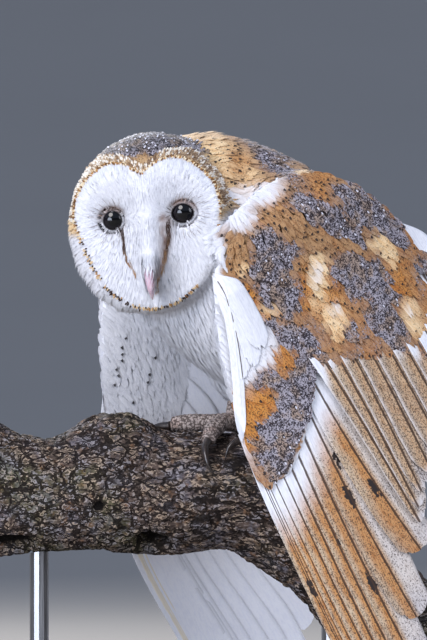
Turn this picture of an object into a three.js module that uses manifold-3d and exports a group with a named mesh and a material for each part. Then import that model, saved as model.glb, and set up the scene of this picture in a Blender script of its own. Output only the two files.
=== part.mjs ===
// A life-size mounted barn owl with drooped wings, gripping a cut length of branch on a plain display stand.
// Millimetres, +Z up. The origin is the middle of the stand's underside. The branch runs along X, and the
// owl's head looks towards -Y. The body heads towards -X, turned a little to -Y.
import * as THREE from "three";
import { mergeVertices } from "three/addons/utils/BufferGeometryUtils.js";
import Module from "manifold-3d";

const wasm = await Module();
wasm.setup();

// ---- driving dimensions -------------------------------------------------------------------------------
const GAP = 0.35; // clearance between neighbouring solids
const PERCH_HEIGHT = 215; // branch axis above the table, under the feet
const PERCH_Y = -12; // branch axis in Y
const PERCH_RADIUS = 32;
const BODY_HEADING = degrees(27); // how far the body's forward direction turns from -X towards -Y
const CHEST = vec(-30.5, -35, PERCH_HEIGHT); // a point of the body's middle plane, under the chest
const HEAD_CENTRE = vec(-31.4, -44, PERCH_HEIGHT + 141);
const HEAD_TURN = { yaw: degrees(-7), roll: degrees(-5.8), pitch: degrees(6) };
const EYE = { side: 18.4, height: 4.7, back: -13.2, radius: 8.6 };
const WING_TILT = degrees(27); // the hanging flight feathers lean from the vertical by this
const WRIST = vec(0, -99, PERCH_HEIGHT + 119);
// How the right wing hangs against the left one's mirror image: turned, shifted, fanned out and swept back.
const RIGHT_WING = { turn: degrees(4), shift: vec(5, 0, 0), fan: 0.2, sweep: 20 };
const PRIMARIES = 10;
const SECONDARIES = 13;
const TAIL_FEATHERS = 12;
const SHEET_THICKNESS = 1.1;
const STAND = { length: 250, width: 190, thickness: 16, corner: 30, rodRadius: 5, rodAt: [-92, 62] };

function vec(x, y, z) {
  return new THREE.Vector3(x, y, z);
}

function degrees(angle) {
  return (angle * Math.PI) / 180;
}

const { clamp, lerp, smoothstep } = THREE.MathUtils;

// ---- closed solids from rings -------------------------------------------------------------------------
function signedVolume(points, triangles) {
  let sum = 0;
  for (let i = 0; i < triangles.length; i += 3) {
    const [a, b, c] = [0, 1, 2].map((k) => points[triangles[i + k]]);
    sum += a.dot(b.clone().cross(c)) / 6;
  }
  return sum;
}

function solidOf(points, triangles) {
  if (signedVolume(points, triangles) < 0) triangles.reverse();
  const geometry = new THREE.BufferGeometry().setFromPoints(points);
  geometry.setIndex(triangles);
  return geometry;
}

// A closed body through rings of equally many points, with a pole at each end.
function ringSolid(rings, firstPole, lastPole) {
  const sides = rings[0].length;
  const middle = (ring) => ring.reduce((sum, p) => sum.add(p), vec(0, 0, 0)).divideScalar(sides);
  const points = rings.flat();
  const first = points.push(firstPole ?? middle(rings[0])) - 1;
  const last = points.push(lastPole ?? middle(rings.at(-1))) - 1;
  const triangles = [];
  for (let i = 0; i < sides; i++) {
    const next = (i + 1) % sides;
    triangles.push(first, next, i);
    for (let r = 0; r + 1 < rings.length; r++) {
      const [a, b] = [r * sides + i, r * sides + next];
      triangles.push(a, b, b + sides, a, b + sides, a + sides);
    }
    const base = (rings.length - 1) * sides;
    triangles.push(last, base + i, base + next);
  }
  return solidOf(points, triangles);
}

// Values at evenly spaced places along a smooth curve through the rows of a table of numbers.
function smoothRows(rows, count) {
  const curves = rows[0].map(
    (_, k) => new THREE.CatmullRomCurve3(rows.map((row, i) => vec(i, row[k], 0)), false, "catmullrom", 0.5)
  );
  return Array.from({ length: count }, (_, i) => curves.map((c) => c.getPoint(i / (count - 1)).y));
}

// A body swept along a path. Each row is x, y, z, half-width along `across`, half-width the other way.
function sweptSolid(rows, count, sides, across, surface = () => 1) {
  const stations = smoothRows(rows, count);
  const at = (i) => vec(...stations[Math.min(Math.max(i, 0), count - 1)].slice(0, 3));
  const rings = stations.map((station, i) => {
    const tangent = at(i + 1).sub(at(i - 1)).normalize();
    const u = across.clone().addScaledVector(tangent, -across.dot(tangent)).normalize();
    const v = tangent.clone().cross(u);
    return Array.from({ length: sides }, (_, k) => {
      const angle = (2 * Math.PI * k) / sides;
      const swell = surface(angle, i / (count - 1));
      return at(i)
        .addScaledVector(u, station[3] * swell * Math.cos(angle))
        .addScaledVector(v, station[4] * swell * Math.sin(angle));
    });
  });
  return ringSolid(rings);
}

// A closed thin sheet: columns of points on its outer face, each with the direction of its thickness.
function sheetSolid(columns, thickness, inwards) {
  const rows = columns[0].length;
  const outer = columns.flat();
  const inner = outer.map((p) => p.clone().addScaledVector(inwards, thickness));
  const points = [...outer, ...inner];
  const triangles = [];
  const quad = (a, b, c, d) => triangles.push(a, b, c, a, c, d);
  const at = (column, row, face) => face * outer.length + column * rows + row;
  const last = [columns.length - 1, rows - 1];
  for (let c = 0; c < last[0]; c++) {
    for (let r = 0; r < last[1]; r++) {
      quad(at(c, r, 0), at(c + 1, r, 0), at(c + 1, r + 1, 0), at(c, r + 1, 0));
      quad(at(c, r, 1), at(c, r + 1, 1), at(c + 1, r + 1, 1), at(c + 1, r, 1));
    }
    quad(at(c, 0, 0), at(c, 0, 1), at(c + 1, 0, 1), at(c + 1, 0, 0));
    quad(at(c, last[1], 0), at(c + 1, last[1], 0), at(c + 1, last[1], 1), at(c, last[1], 1));
  }
  for (let r = 0; r < last[1]; r++) {
    quad(at(0, r, 0), at(0, r + 1, 0), at(0, r + 1, 1), at(0, r, 1));
    quad(at(last[0], r, 0), at(last[0], r, 1), at(last[0], r + 1, 1), at(last[0], r + 1, 0));
  }
  return solidOf(points, triangles);
}

// ---- cutting and joining ------------------------------------------------------------------------------
// The geometry's positions alone, with shared vertices merged.
function merged(geometry) {
  const bare = geometry.clone();
  bare.deleteAttribute("normal");
  bare.deleteAttribute("uv");
  return mergeVertices(bare, 1e-3);
}

function manifoldOf(geometry) {
  const { attributes, index } = merged(geometry);
  return new wasm.Manifold(
    new wasm.Mesh({
      numProp: 3,
      vertProperties: new Float32Array(attributes.position.array),
      triVerts: new Uint32Array(index.array),
    })
  );
}

function geometryOf(manifold) {
  const mesh = manifold.getMesh();
  const geometry = new THREE.BufferGeometry();
  geometry.setAttribute("position", new THREE.BufferAttribute(mesh.vertProperties, 3));
  geometry.setIndex(new THREE.BufferAttribute(mesh.triVerts, 1));
  return geometry;
}

// The same surface pushed out by the gap, so that what it cuts stays clear of it.
function inflated(geometry, gap = GAP) {
  const pushed = merged(geometry);
  pushed.computeVertexNormals();
  const { position, normal } = pushed.attributes;
  for (let i = 0; i < position.count; i++) {
    position.setXYZ(
      i,
      position.getX(i) + gap * normal.getX(i),
      position.getY(i) + gap * normal.getY(i),
      position.getZ(i) + gap * normal.getZ(i)
    );
  }
  return pushed;
}

function largestBody(manifold) {
  return manifold.decompose().reduce((best, body) => (body.volume() > best.volume() ? body : best));
}

// What is left of a form beside its neighbours' whole forms: its largest body, clear of each of them.
function carved(geometry, ...neighbours) {
  const clear = neighbours.reduce(
    (body, neighbour) => body.subtract(manifoldOf(inflated(neighbour))),
    manifoldOf(geometry)
  );
  return geometryOf(largestBody(clear));
}

function joined(...geometries) {
  return geometryOf(geometries.map(manifoldOf).reduce((sum, body) => sum.add(body)));
}

// ---- the body's own frame -----------------------------------------------------------------------------
const UP = vec(0, 0, 1);
const forward = vec(-Math.cos(BODY_HEADING), -Math.sin(BODY_HEADING), 0);
const toRight = vec(-Math.sin(BODY_HEADING), Math.cos(BODY_HEADING), 0);

// A point given as millimetres behind the chest, to the owl's right, and above the branch's axis.
function bodyPoint(back, right, height) {
  return CHEST.clone()
    .addScaledVector(forward, -back)
    .addScaledVector(toRight, right)
    .addScaledVector(UP, height);
}

function mirrored(point) {
  const right = point.clone().sub(CHEST).dot(toRight);
  return point.clone().addScaledVector(toRight, -2 * right);
}

// Rows of back, right, height and radii, with the rights turned over for the owl's left side.
function bodyRows(side, rows) {
  return rows.map(([back, right, height, ...radii]) => [
    ...bodyPoint(back, side * right, height).toArray(),
    ...radii,
  ]);
}

// ---- materials ----------------------------------------------------------------------------------------
function paint(colour, roughness, metalness = 0) {
  return new THREE.MeshStandardMaterial({ color: colour, roughness, metalness });
}

const whitePlumage = paint(0xece9e6, 0.9);
const buffPlumage = paint(0xc9924f, 0.9);
const greyPlumage = paint(0x6f6a72, 0.9);
const eyeGloss = paint(0x0a0a10, 0.08);
const billHorn = paint(0xd9b9b4, 0.45);
const footSkin = paint(0x8d7a6b, 0.75);
const clawHorn = paint(0x2b2429, 0.35);
const bark = paint(0x574a3f, 0.95);
const standPaint = paint(0x1c1c1e, 0.5);
const rodSteel = paint(0xa8a8a6, 0.35, 0.9);

// ---- branch and stand ---------------------------------------------------------------------------------
// Columns: x, y, height against the perch height, radius in Y, radius in Z.
const BRANCH_ROWS = [
  [-152, PERCH_Y + 4, 2, 32, 34],
  [-118, PERCH_Y + 2, 0, 33, 34],
  [-84, PERCH_Y, -2.5, 30, 30],
  [-54, PERCH_Y, 2, 34, 35],
  [-24, PERCH_Y, -1, 33, 33],
  [8, PERCH_Y, -1, 32, 31],
  [34, PERCH_Y, -9, 31, 31],
  [60, PERCH_Y + 1, -30, 30, 30],
  [84, PERCH_Y + 2, -58, 29, 29],
  [106, PERCH_Y + 2, -86, 28, 28],
];

function barkSwell(angle, along) {
  return 1 + 0.028 * Math.sin(3 * angle + 9 * along) + 0.022 * Math.sin(5 * angle - 23 * along);
}

const branch = sweptSolid(
  BRANCH_ROWS.map(([x, y, height, ...radii]) => [x, y, PERCH_HEIGHT + height, ...radii]),
  17,
  16,
  vec(0, 1, 0),
  barkSwell
);

function roundedPlate(length, width, thickness, corner) {
  const [x, y] = [length / 2 - corner, width / 2 - corner];
  const outline = new THREE.Shape();
  outline.absarc(x, y, corner, 0, Math.PI / 2);
  outline.absarc(-x, y, corner, Math.PI / 2, Math.PI);
  outline.absarc(-x, -y, corner, Math.PI, 1.5 * Math.PI);
  outline.absarc(x, -y, corner, 1.5 * Math.PI, 2 * Math.PI);
  const bevel = 2;
  const plate = new THREE.ExtrudeGeometry(outline, {
    depth: thickness - bevel,
    bevelEnabled: true,
    bevelThickness: bevel,
    bevelSize: bevel,
    bevelOffset: -bevel,
    bevelSegments: 1,
    curveSegments: 5,
  });
  return plate;
}

// The plate's bevelled underside is cut flat at the table, so that the whole foot touches it.
function standBase() {
  const { length, width, thickness, corner } = STAND;
  const plate = manifoldOf(roundedPlate(length, width, thickness, corner));
  const below = new THREE.BoxGeometry(length * 2, width * 2, thickness).translate(0, 0, -thickness / 2);
  return geometryOf(plate.subtract(manifoldOf(below)));
}

function standRod(x) {
  const [bottom, top] = [STAND.thickness + GAP, PERCH_HEIGHT];
  return new THREE.CylinderGeometry(STAND.rodRadius, STAND.rodRadius, top - bottom, 12)
    .rotateX(Math.PI / 2)
    .translate(x, PERCH_Y, (top + bottom) / 2);
}

function standCollar(x) {
  const inner = STAND.rodRadius + GAP;
  const profile = [
    [inner, 0],
    [inner + 8, 0],
    [inner + 8, 3],
    [inner + 3, 9],
    [inner, 9],
    [inner, 0],
  ].map(([r, z]) => new THREE.Vector2(r, z));
  return new THREE.LatheGeometry(profile, 14)
    .rotateX(Math.PI / 2)
    .translate(x, PERCH_Y, STAND.thickness + GAP);
}

// ---- trunk, neck and head -----------------------------------------------------------------------------
// Columns: back, right, height, half-width to the side, half-depth.
const TRUNK_ROWS = [
  [-5, 1, 101, 17, 17],
  [8, 1, 105, 33, 37],
  [28, 0, 110, 46, 53],
  [56, 0, 111, 51, 59],
  [88, 0, 105, 51, 58],
  [116, 0, 90, 46, 51],
  [138, 0, 68, 36, 39],
  [154, 0, 42, 25, 24],
  [163, 0, 24, 16, 13],
];
const NECK_ROWS = [
  [-2, 2, 146, 25, 26],
  [12, 3, 156, 35, 34],
  [34, 2, 153, 41, 37.5],
  [56, 1, 147, 42, 36.8],
  [78, 0, 138, 39, 36],
  [98, 0, 126, 34, 31],
  [114, 0, 114, 22, 22],
];

const headTurn = new THREE.Matrix4()
  .makeRotationZ(HEAD_TURN.yaw)
  .multiply(new THREE.Matrix4().makeRotationY(HEAD_TURN.roll))
  .multiply(new THREE.Matrix4().makeRotationX(HEAD_TURN.pitch));

// A point of the head given as millimetres to the image's right, backwards and up from its centre.
function headPoint(x, back, z) {
  return vec(x, back, z).applyMatrix4(headTurn).add(HEAD_CENTRE);
}

function bump(x, width) {
  return Math.exp(-((x / width) ** 2));
}

// How far back the facial disc lies: a shallow dish with a ridge down to the bill and a hollow at each eye.
function faceBack(x, z, share) {
  const rim = -27 + 5 * (x / 40) ** 2;
  const dish = 6.5 * (1 - share ** 2);
  const along = clamp((24 - z) / 52, 0, 1);
  const ridgeWidth = 10.5 - 4 * along;
  const ends = smoothstep(z, -46, -28) * (1 - smoothstep(z, 16, 34));
  const ridge = (9 + 6 * along) * bump(x, ridgeWidth) * ends;
  const sockets = 2.5 * bump(Math.hypot(Math.abs(x) - EYE.side, z - EYE.height), 9);
  return rim + dish - ridge + sockets;
}

function headSolid() {
  const sides = 20;
  // Columns: half-width, height above and depth below the section's middle, its middle, and its place.
  const shell = [
    [42.4, 37, 50, 4, -17],
    [43.6, 43, 50, 4, -3],
    [41, 43.5, 46, 4, 14],
    [33, 37, 37, 4, 30],
    [18, 21, 21, 4, 40],
  ];
  const ring = (place) =>
    Array.from({ length: sides }, (_, k) => place((2 * Math.PI * k) / sides + Math.PI / sides));
  const discRing = (share) =>
    ring((angle) => {
      const [x, z] = [39.6 * Math.cos(angle), (Math.sin(angle) > 0 ? 29.5 : 47) * Math.sin(angle)];
      return headPoint(x * share, faceBack(x * share, z * share, share), 1 + z * share);
    });
  // The right cheek's fluff fills the shell out below and to its side.
  const jowl = (angle) => 1 + 0.18 * Math.max(0, -Math.sin(angle)) * Math.max(0, -Math.cos(angle));
  const shellRing = ([half, up, down, middle, back]) =>
    ring((angle) => {
      const rise = (Math.sin(angle) > 0 ? up : down) * Math.sin(angle);
      return headPoint(half * Math.cos(angle) * jowl(angle), back, middle + rise * jowl(angle));
    });
  const face = [0.2, 0.4, 0.6, 0.82, 1].map(discRing);
  return ringSolid([...face, ...shell.map(shellRing)], headPoint(0, faceBack(0, 1, 0), 1), headPoint(0, 43, 4));
}

function eyeball(side) {
  const centre = headPoint(side * EYE.side, EYE.back, EYE.height);
  return new THREE.SphereGeometry(EYE.radius, 11, 8).translate(...centre.toArray());
}

// The hooked bill, from inside the face to its tip.
function billSolid() {
  const rows = [
    [0, -28, -17, 4.2, 5],
    [0, -35, -21, 3.8, 4.4],
    [0, -39, -26, 2.9, 3.4],
    [0, -39.6, -31.5, 1.8, 2.1],
    [0, -37.6, -36, 0.7, 0.8],
  ].map(([x, back, z, ...radii]) => [...headPoint(x, back, z).toArray(), ...radii]);
  return sweptSolid(rows, 6, 8, vec(1, 0, 0).transformDirection(headTurn));
}

// ---- legs ---------------------------------------------------------------------------------------------
// A foot's sole lies at x along the branch, `round` degrees from its top towards -Y. Each toe's steps from
// the sole are given the same way, to its last joint and then on to its claw's tip.
const FEET = {
  left: {
    x: 46,
    round: 24,
    hip: [74, 22, 84],
    knee: [74, 20, 58],
    toes: {
      front: { steps: [[0, 0], [-10, 5], [-19, 10], [-26, 15]], claw: [[-33, 20], [-38, 27], [-40, 35]] },
      inner: { steps: [[0, 0], [-2, 16], [-4, 32], [-4, 46]], claw: [[-3, 57], [0, 67], [4, 75]] },
      outer: { steps: [[0, 0], [7, 14], [12, 28], [14, 40]], claw: [[15, 50], [14, 60], [12, 69]] },
      hind: { steps: [[0, 0], [8, -14], [13, -28], [15, -40]], claw: [[16, -50], [16, -60], [14, -70]] },
    },
  },
  right: {
    x: 13,
    round: -5,
    hip: [66, 20, 84],
    knee: [58, 12, 60],
    toes: {
      front: { steps: [[0, 0], [-13, -2], [-26, -3], [-36, -2]], claw: [[-43, -7], [-47, -16], [-48, -26]] },
      inner: { steps: [[0, 0], [-7, 14], [-13, 30], [-16, 46]], claw: [[-17.5, 58], [-16, 70], [-12, 80]] },
      outer: { steps: [[0, 0], [2, -20], [0, -38], [-3, -52]], claw: [[-4, -63], [-3, -74], [0, -84]] },
      hind: { steps: [[0, 0], [8, -7], [15, -11], [20, -15]], claw: [[25, -19], [28, -27], [29, -36]] },
    },
  },
};
const ANKLE_HEIGHT = 16; // the shank's lower end above the bark

// A point on or above the branch's bark, x along it and `round` degrees round it from its top towards -Y.
function perchPoint(x, round, above) {
  const sag = x > 8 ? -0.011 * (x - 8) ** 2 : 0;
  const radius = PERCH_RADIUS + 1.5 + above;
  const angle = degrees(round);
  return vec(x, PERCH_Y - radius * Math.sin(angle), PERCH_HEIGHT - 1 + sag + radius * Math.cos(angle));
}

function perchTube(foot, steps, heights, radii, sides) {
  const rows = steps.map(([dx, turn], i) => [
    ...perchPoint(foot.x + dx, foot.round + turn, heights[i]).toArray(),
    radii[i],
    radii[i],
  ]);
  return sweptSolid(rows, 5, sides, vec(0.02, 0.05, 1));
}

function toeSolid(foot, { steps }) {
  return perchTube(foot, steps, [4, 3.6, 3.4, 2.8], [5.4, 4.1, 4.3, 3.5], 6);
}

function clawSolid(foot, { steps, claw }) {
  return perchTube(foot, [steps.at(-1), ...claw], [2.8, 5, 4.4, 1.4], [3, 2.5, 1.6, 0.5], 5);
}

function footSolid(foot) {
  const sole = perchPoint(foot.x, foot.round, 5.5);
  const ball = new THREE.SphereGeometry(6.6, 9, 6).translate(...sole.toArray());
  return joined(ball, ...Object.values(foot.toes).map((toe) => toeSolid(foot, toe)));
}

function shankSolid(foot, side) {
  const [back, right, height] = foot.knee;
  const top = bodyPoint(back, side * right, height);
  const ankle = perchPoint(foot.x, foot.round, ANKLE_HEIGHT);
  const rows = [
    [...top.toArray(), 10, 10],
    [...top.lerp(ankle, 0.5).toArray(), 8.4, 8.4],
    [...ankle.toArray(), 6, 6],
  ];
  return sweptSolid(rows, 4, 10, toRight);
}

function thighSolid(foot, side) {
  const [back, right, height] = foot.knee;
  const rows = [
    [...foot.hip, 23, 27],
    [back + 2, right + 1, height + 4, 21, 24],
    [back, right, height - 9, 15, 17],
    [back - 2, right - 1, height - 15, 8, 9],
  ];
  return sweptSolid(bodyRows(side, rows), 6, 12, toRight);
}

// ---- tail ---------------------------------------------------------------------------------------------
const TAIL = { rootBack: 146, rootHeight: 44, length: 118, pitch: degrees(48), spread: degrees(13), notch: 5, thickness: 1.4 };

// A point of the tail's upper face: along it from its root, and across it to the owl's right.
function tailPoint(along, across) {
  const camber = (across / 34) ** 2 * 5;
  const back = TAIL.rootBack + along * Math.cos(TAIL.pitch) - camber * Math.sin(TAIL.pitch);
  const height = TAIL.rootHeight - along * Math.sin(TAIL.pitch) - camber * Math.cos(TAIL.pitch);
  return bodyPoint(back, across, height);
}

// Shares of the way along a feather where its column of a sheet has points, and the places across the
// sheet that take a column: each feather's shaft, at its full reach, and the notches on both sides of it.
// `hidden` more feathers come before the first, under what lies over the sheet there.
const COLUMN_SHARES = [0, 0.5, 1];
function shaftsAndNotches(count, hidden = 0) {
  return Array.from({ length: 2 * (count + hidden) + 1 }, (_, i) => ({
    place: (i - 1) / 2 - hidden,
    shaft: i % 2 === 1,
  }));
}

function tailSolid() {
  const columns = shaftsAndNotches(TAIL_FEATHERS).map(({ place, shaft }) => {
    const across = (2 * place + 1) / TAIL_FEATHERS - 1;
    const reach = TAIL.length * (1 - 0.07 * across ** 2) - (shaft ? 0 : TAIL.notch);
    return COLUMN_SHARES.map((share) => {
      const along = reach * share;
      return tailPoint(along, across * (11 + along * Math.tan(TAIL.spread)));
    });
  });
  const inwards = bodyPoint(-Math.sin(TAIL.pitch), 0, -Math.cos(TAIL.pitch)).sub(CHEST).normalize();
  return sheetSolid(columns, TAIL.thickness, inwards);
}

// ---- wings --------------------------------------------------------------------------------------------
// The left wing hangs as one curved sheet. `across` runs from its leading edge backwards, and `along` down
// its feathers from the wrist.
const acrossWing = vec(Math.cos(WING_TILT), 0, Math.sin(WING_TILT));
const alongWing = vec(Math.sin(WING_TILT), 0, -Math.cos(WING_TILT));

function leadingEdge(along) {
  return along > 0 ? -31 * (1 - Math.exp(-along / 45)) : 0;
}

function wingSheet(across, along) {
  const inset = across - leadingEdge(along);
  const wrap = lerp(0.74, 0.62, clamp(along / 250, 0, 1));
  const belly = 7 * Math.sin(Math.PI * clamp(inset / 120, 0, 1));
  const curl = 0.00028 * Math.max(along - 60, 0) ** 2;
  return WRIST.clone()
    .addScaledVector(acrossWing, across)
    .addScaledVector(alongWing, along)
    .add(vec(0, wrap * inset - belly + curl, 0));
}

function wingNormal(across, along) {
  const step = 2;
  const u = wingSheet(across + step, along).sub(wingSheet(across - step, along));
  const v = wingSheet(across, along + step).sub(wingSheet(across, along - step));
  return v.cross(u).normalize();
}

// A point of a wing: on its sheet, `out` away from the body. Side 1 is the owl's right wing.
function wingPoint(side, across, along, out) {
  if (side < 0) return wingSheet(across, along).addScaledVector(wingNormal(across, along), out);
  const inset = clamp((across - leadingEdge(along)) / 60, 0, 1.5);
  const swept = RIGHT_WING.sweep * (1 - bump(Math.max(along - 140, 0), 75));
  const fanned = across + RIGHT_WING.fan * inset * Math.max(along - 70, 0) + swept;
  const wrist = mirrored(WRIST);
  return mirrored(wingSheet(fanned, along).addScaledVector(wingNormal(fanned, along), out))
    .sub(wrist)
    .applyAxisAngle(vec(0, 1, 0), RIGHT_WING.turn)
    .add(wrist)
    .add(RIGHT_WING.shift);
}

// A feathered pad on the sheet. Each row: along, first and last across, outer and inner half-thickness.
function padSolid(side, rows, count, sides) {
  const rings = smoothRows(rows, count).map(([along, first, last, outer, inner]) =>
    Array.from({ length: sides }, (_, k) => {
      const angle = (2 * Math.PI * k) / sides;
      const across = (first + last) / 2 - ((last - first) / 2) * Math.cos(angle);
      const out = (Math.sin(angle) > 0 ? outer : inner) * Math.sin(angle);
      return wingPoint(side, across, along, out);
    })
  );
  return ringSolid(rings);
}

const ARM_ROWS = [
  [-25, 40, 54, 3, 3],
  [-18, 17, 70, 8, 9],
  [-4, 3, 84, 10, 12],
  [14, 0, 93, 9.5, 11],
  [36, 3, 98, 8, 8],
  [56, 12, 98, 5.5, 5],
  [72, 26, 94, 3.5, 3],
  [84, 48, 86, 1.8, 1.6],
];
const HAND_ROWS = [
  [2, -1, 6, 3.5, 3.5],
  [16, -9, 12, 6.5, 6],
  [36, -17, 17, 6, 5.5],
  [60, -23, 20, 4.8, 4.2],
  [84, -26, 16, 3.6, 3],
  [104, -27, 2, 2.4, 2],
  [116, -26, -14, 1.4, 1.2],
];
const ALULA_ROWS = [
  [8, -8, -3, 1.4, 1.4],
  [26, -17, -6, 2, 2],
  [50, -24, -13, 1.8, 1.8],
  [74, -28, -20, 1.2, 1.2],
  [88, -29.5, -26, 0.7, 0.7],
];

// Flight feathers run from a root to a tip, both given as [across, along].
function primary(i) {
  const share = i / (PRIMARIES - 1);
  const drawnIn = 61 * share * (1 - share) ** 2;
  return {
    root: [lerp(18, -27, share), lerp(62, 84, share)],
    tip: [29 - 64 * share + 4 * share ** 2 - drawnIn, 181 + 176 * share - 62 * share ** 3],
  };
}

function secondary(i) {
  const share = i / (SECONDARIES - 1);
  const drawnIn = 7 * bump(share - 0.22, 0.2);
  return {
    root: [lerp(25, 93, share), lerp(44, 26, share)],
    tip: [36 + 50 * share + 16 * share ** 2 - drawnIn, 168 - 63 * share + 27 * share ** 2 - 34 * share ** 4],
  };
}

// A thin sheet through a row of flight feathers, scalloped by their tips, `out` from the wing's sheet.
function flightSheet(side, feather, [count, hidden], out, notch) {
  const columns = shaftsAndNotches(count, hidden).map(({ place, shaft }) => {
    const { root, tip } = feather(place);
    const reach = tip[1] - root[1] - (shaft ? 0 : notch);
    return COLUMN_SHARES.map((share) =>
      wingPoint(side, lerp(root[0], tip[0], share), root[1] + reach * share, out)
    );
  });
  const inwards = wingNormal(30, 120).negate();
  if (side > 0) inwards.addScaledVector(toRight, -2 * inwards.dot(toRight));
  return sheetSolid(columns, SHEET_THICKNESS, inwards);
}

// The shoulder feathers that cover where the wing meets the back.
const SCAPULAR_ROWS = [
  [30, 26, 146, 12, 10],
  [48, 33, 153, 19, 15],
  [76, 34, 152, 21, 18],
  [106, 30, 137, 19, 17],
  [134, 24, 114, 14, 12],
  [154, 20, 90, 8, 6],
  [166, 17, 74, 3, 2.5],
];

// ---- assembly -----------------------------------------------------------------------------------------
const owl = new THREE.Group();

// Adds a mesh of what is left of a whole form beside its neighbours' whole forms, and returns the whole form.
function addPart(name, material, whole, ...neighbours) {
  const mesh = new THREE.Mesh(neighbours.length ? carved(whole, ...neighbours) : whole, material);
  mesh.name = name;
  owl.add(mesh);
  return whole;
}

addPart("branch", bark, branch);
addPart("stand_base", standPaint, standBase());
STAND.rodAt.forEach((x, i) => {
  const side = ["left", "right"][i];
  addPart(`stand_rod_${side}`, rodSteel, standRod(x), branch);
  addPart(`stand_collar_${side}`, standPaint, standCollar(x));
});

const eyes = [
  ["eye_right", -1],
  ["eye_left", 1],
].map(([name, side]) => addPart(name, eyeGloss, eyeball(side)));
const head = addPart("head", whitePlumage, headSolid(), ...eyes);
addPart("bill", billHorn, billSolid(), head);
const trunk = addPart("trunk", whitePlumage, sweptSolid(bodyRows(1, TRUNK_ROWS), 12, 18, toRight), head);
const neck = addPart("neck", whitePlumage, sweptSolid(bodyRows(1, NECK_ROWS), 8, 12, toRight), head, trunk);
addPart("tail", buffPlumage, tailSolid(), trunk);

function addLeg(name, side) {
  const foot = FEET[name];
  const thigh = addPart(`thigh_${name}`, whitePlumage, thighSolid(foot, side), trunk, branch);
  const toes = addPart(`foot_${name}`, footSkin, footSolid(foot), branch);
  addPart(`shank_${name}`, whitePlumage, shankSolid(foot, side), trunk, thigh);
  Object.entries(foot.toes).forEach(([toe, shape]) =>
    addPart(`claw_${name}_${toe}`, clawHorn, clawSolid(foot, shape), toes, branch)
  );
}

function addWing(name, side) {
  const scapularPad = sweptSolid(bodyRows(side, SCAPULAR_ROWS), 8, 10, toRight);
  const scapulars = addPart(`scapulars_${name}`, greyPlumage, scapularPad, trunk, neck, head);
  const body = [trunk, neck, head, scapulars];
  const arm = addPart(`wing_${name}_arm`, buffPlumage, padSolid(side, ARM_ROWS, 9, 13), ...body);
  const hand = addPart(`wing_${name}_hand`, greyPlumage, padSolid(side, HAND_ROWS, 8, 10), arm, head);
  const alulaPad = padSolid(side, ALULA_ROWS, 5, 6);
  const alula = addPart(`wing_${name}_alula`, whitePlumage, alulaPad, hand, arm);
  const secondaries = addPart(
    `wing_${name}_secondaries`,
    buffPlumage,
    flightSheet(side, secondary, [SECONDARIES, 0], 1, 7),
    ...body,
    arm,
    hand,
    alula
  );
  const primariesSheet = flightSheet(side, primary, [PRIMARIES, 1], -0.7, 9);
  addPart(`wing_${name}_primaries`, buffPlumage, primariesSheet, arm, hand, alula, secondaries);
}

for (const [name, side] of [
  ["left", -1],
  ["right", 1],
]) {
  addLeg(name, side);
  addWing(name, side);
}

export default owl;
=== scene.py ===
"""A life-size barn owl with drooped wings, gripping a cut length of branch on a plain display stand.

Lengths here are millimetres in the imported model's frame, and become metres where a mesh is made. The
branch runs along X, the owl's face looks to -Y and its body heads to -X, turned a little to -Y.
Feathers are vanes of mesh laid over one skin. Skin and feathers take their markings from the same
functions of place.
"""
import math
from functools import partial

import bpy
import numpy as np
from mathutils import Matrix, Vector
from mathutils.bvhtree import BVHTree
from mathutils.kdtree import KDTree


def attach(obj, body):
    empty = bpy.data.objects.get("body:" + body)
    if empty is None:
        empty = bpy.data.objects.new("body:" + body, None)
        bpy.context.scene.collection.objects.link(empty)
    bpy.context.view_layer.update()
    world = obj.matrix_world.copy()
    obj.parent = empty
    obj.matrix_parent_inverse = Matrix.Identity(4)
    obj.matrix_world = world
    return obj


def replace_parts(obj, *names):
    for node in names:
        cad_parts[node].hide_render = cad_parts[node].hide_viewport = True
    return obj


MM = 0.001
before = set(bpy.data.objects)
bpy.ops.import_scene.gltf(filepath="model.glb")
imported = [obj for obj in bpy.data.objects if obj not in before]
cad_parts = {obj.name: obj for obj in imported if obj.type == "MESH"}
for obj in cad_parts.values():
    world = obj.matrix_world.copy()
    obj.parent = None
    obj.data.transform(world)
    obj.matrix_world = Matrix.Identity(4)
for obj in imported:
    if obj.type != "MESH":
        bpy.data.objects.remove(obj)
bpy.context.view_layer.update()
rng = np.random.default_rng(11)


# ---- small tools ----
def unit(v):
    return v / np.maximum(np.linalg.norm(v, axis=-1, keepdims=True), 1e-12)


def lerp(a, b, t):
    return a + (b - a) * t


def smooth(low, high, x):
    t = np.clip((x - low) / (high - low), 0, 1)
    return t * t * (3 - 2 * t)


def bump(x, width):
    return np.exp(-((x / width) ** 2))


def colour(code):
    """Linear red, green and blue of a colour written as six hexadecimal digits."""
    srgb = np.array([int(code[i : i + 2], 16) for i in (0, 2, 4)]) / 255
    return np.where(srgb <= 0.04045, srgb / 12.92, ((srgb + 0.055) / 1.055) ** 2.4)


def lattice(cell, seed):
    """A repeatable number from 0 to 1 for each whole-numbered place; the large factors scatter it."""
    x, y, z = (cell[..., i].astype(np.int64) for i in range(3))
    h = (x * 374761393 + y * 668265263 + z * 1442695041 + seed * 974634777) & 0xFFFFFFFF
    h = ((h ^ (h >> 13)) * 1274126177) & 0xFFFFFFFF
    return ((h ^ (h >> 16)) & 0xFFFF) / 65535.0


def noise(points, size, seed):
    """Smooth noise from -1 to 1 with features about `size` millimetres across; seeds keep patterns apart."""
    p = points / size
    cell = np.floor(p)
    f = p - cell
    f = f * f * (3 - 2 * f)
    total = 0.0
    for corner in np.ndindex(2, 2, 2):
        weight = np.prod(np.where(corner, f, 1 - f), axis=-1)
        total = total + weight * lattice(cell + np.array(corner), seed)
    return 2 * total - 1


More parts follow.
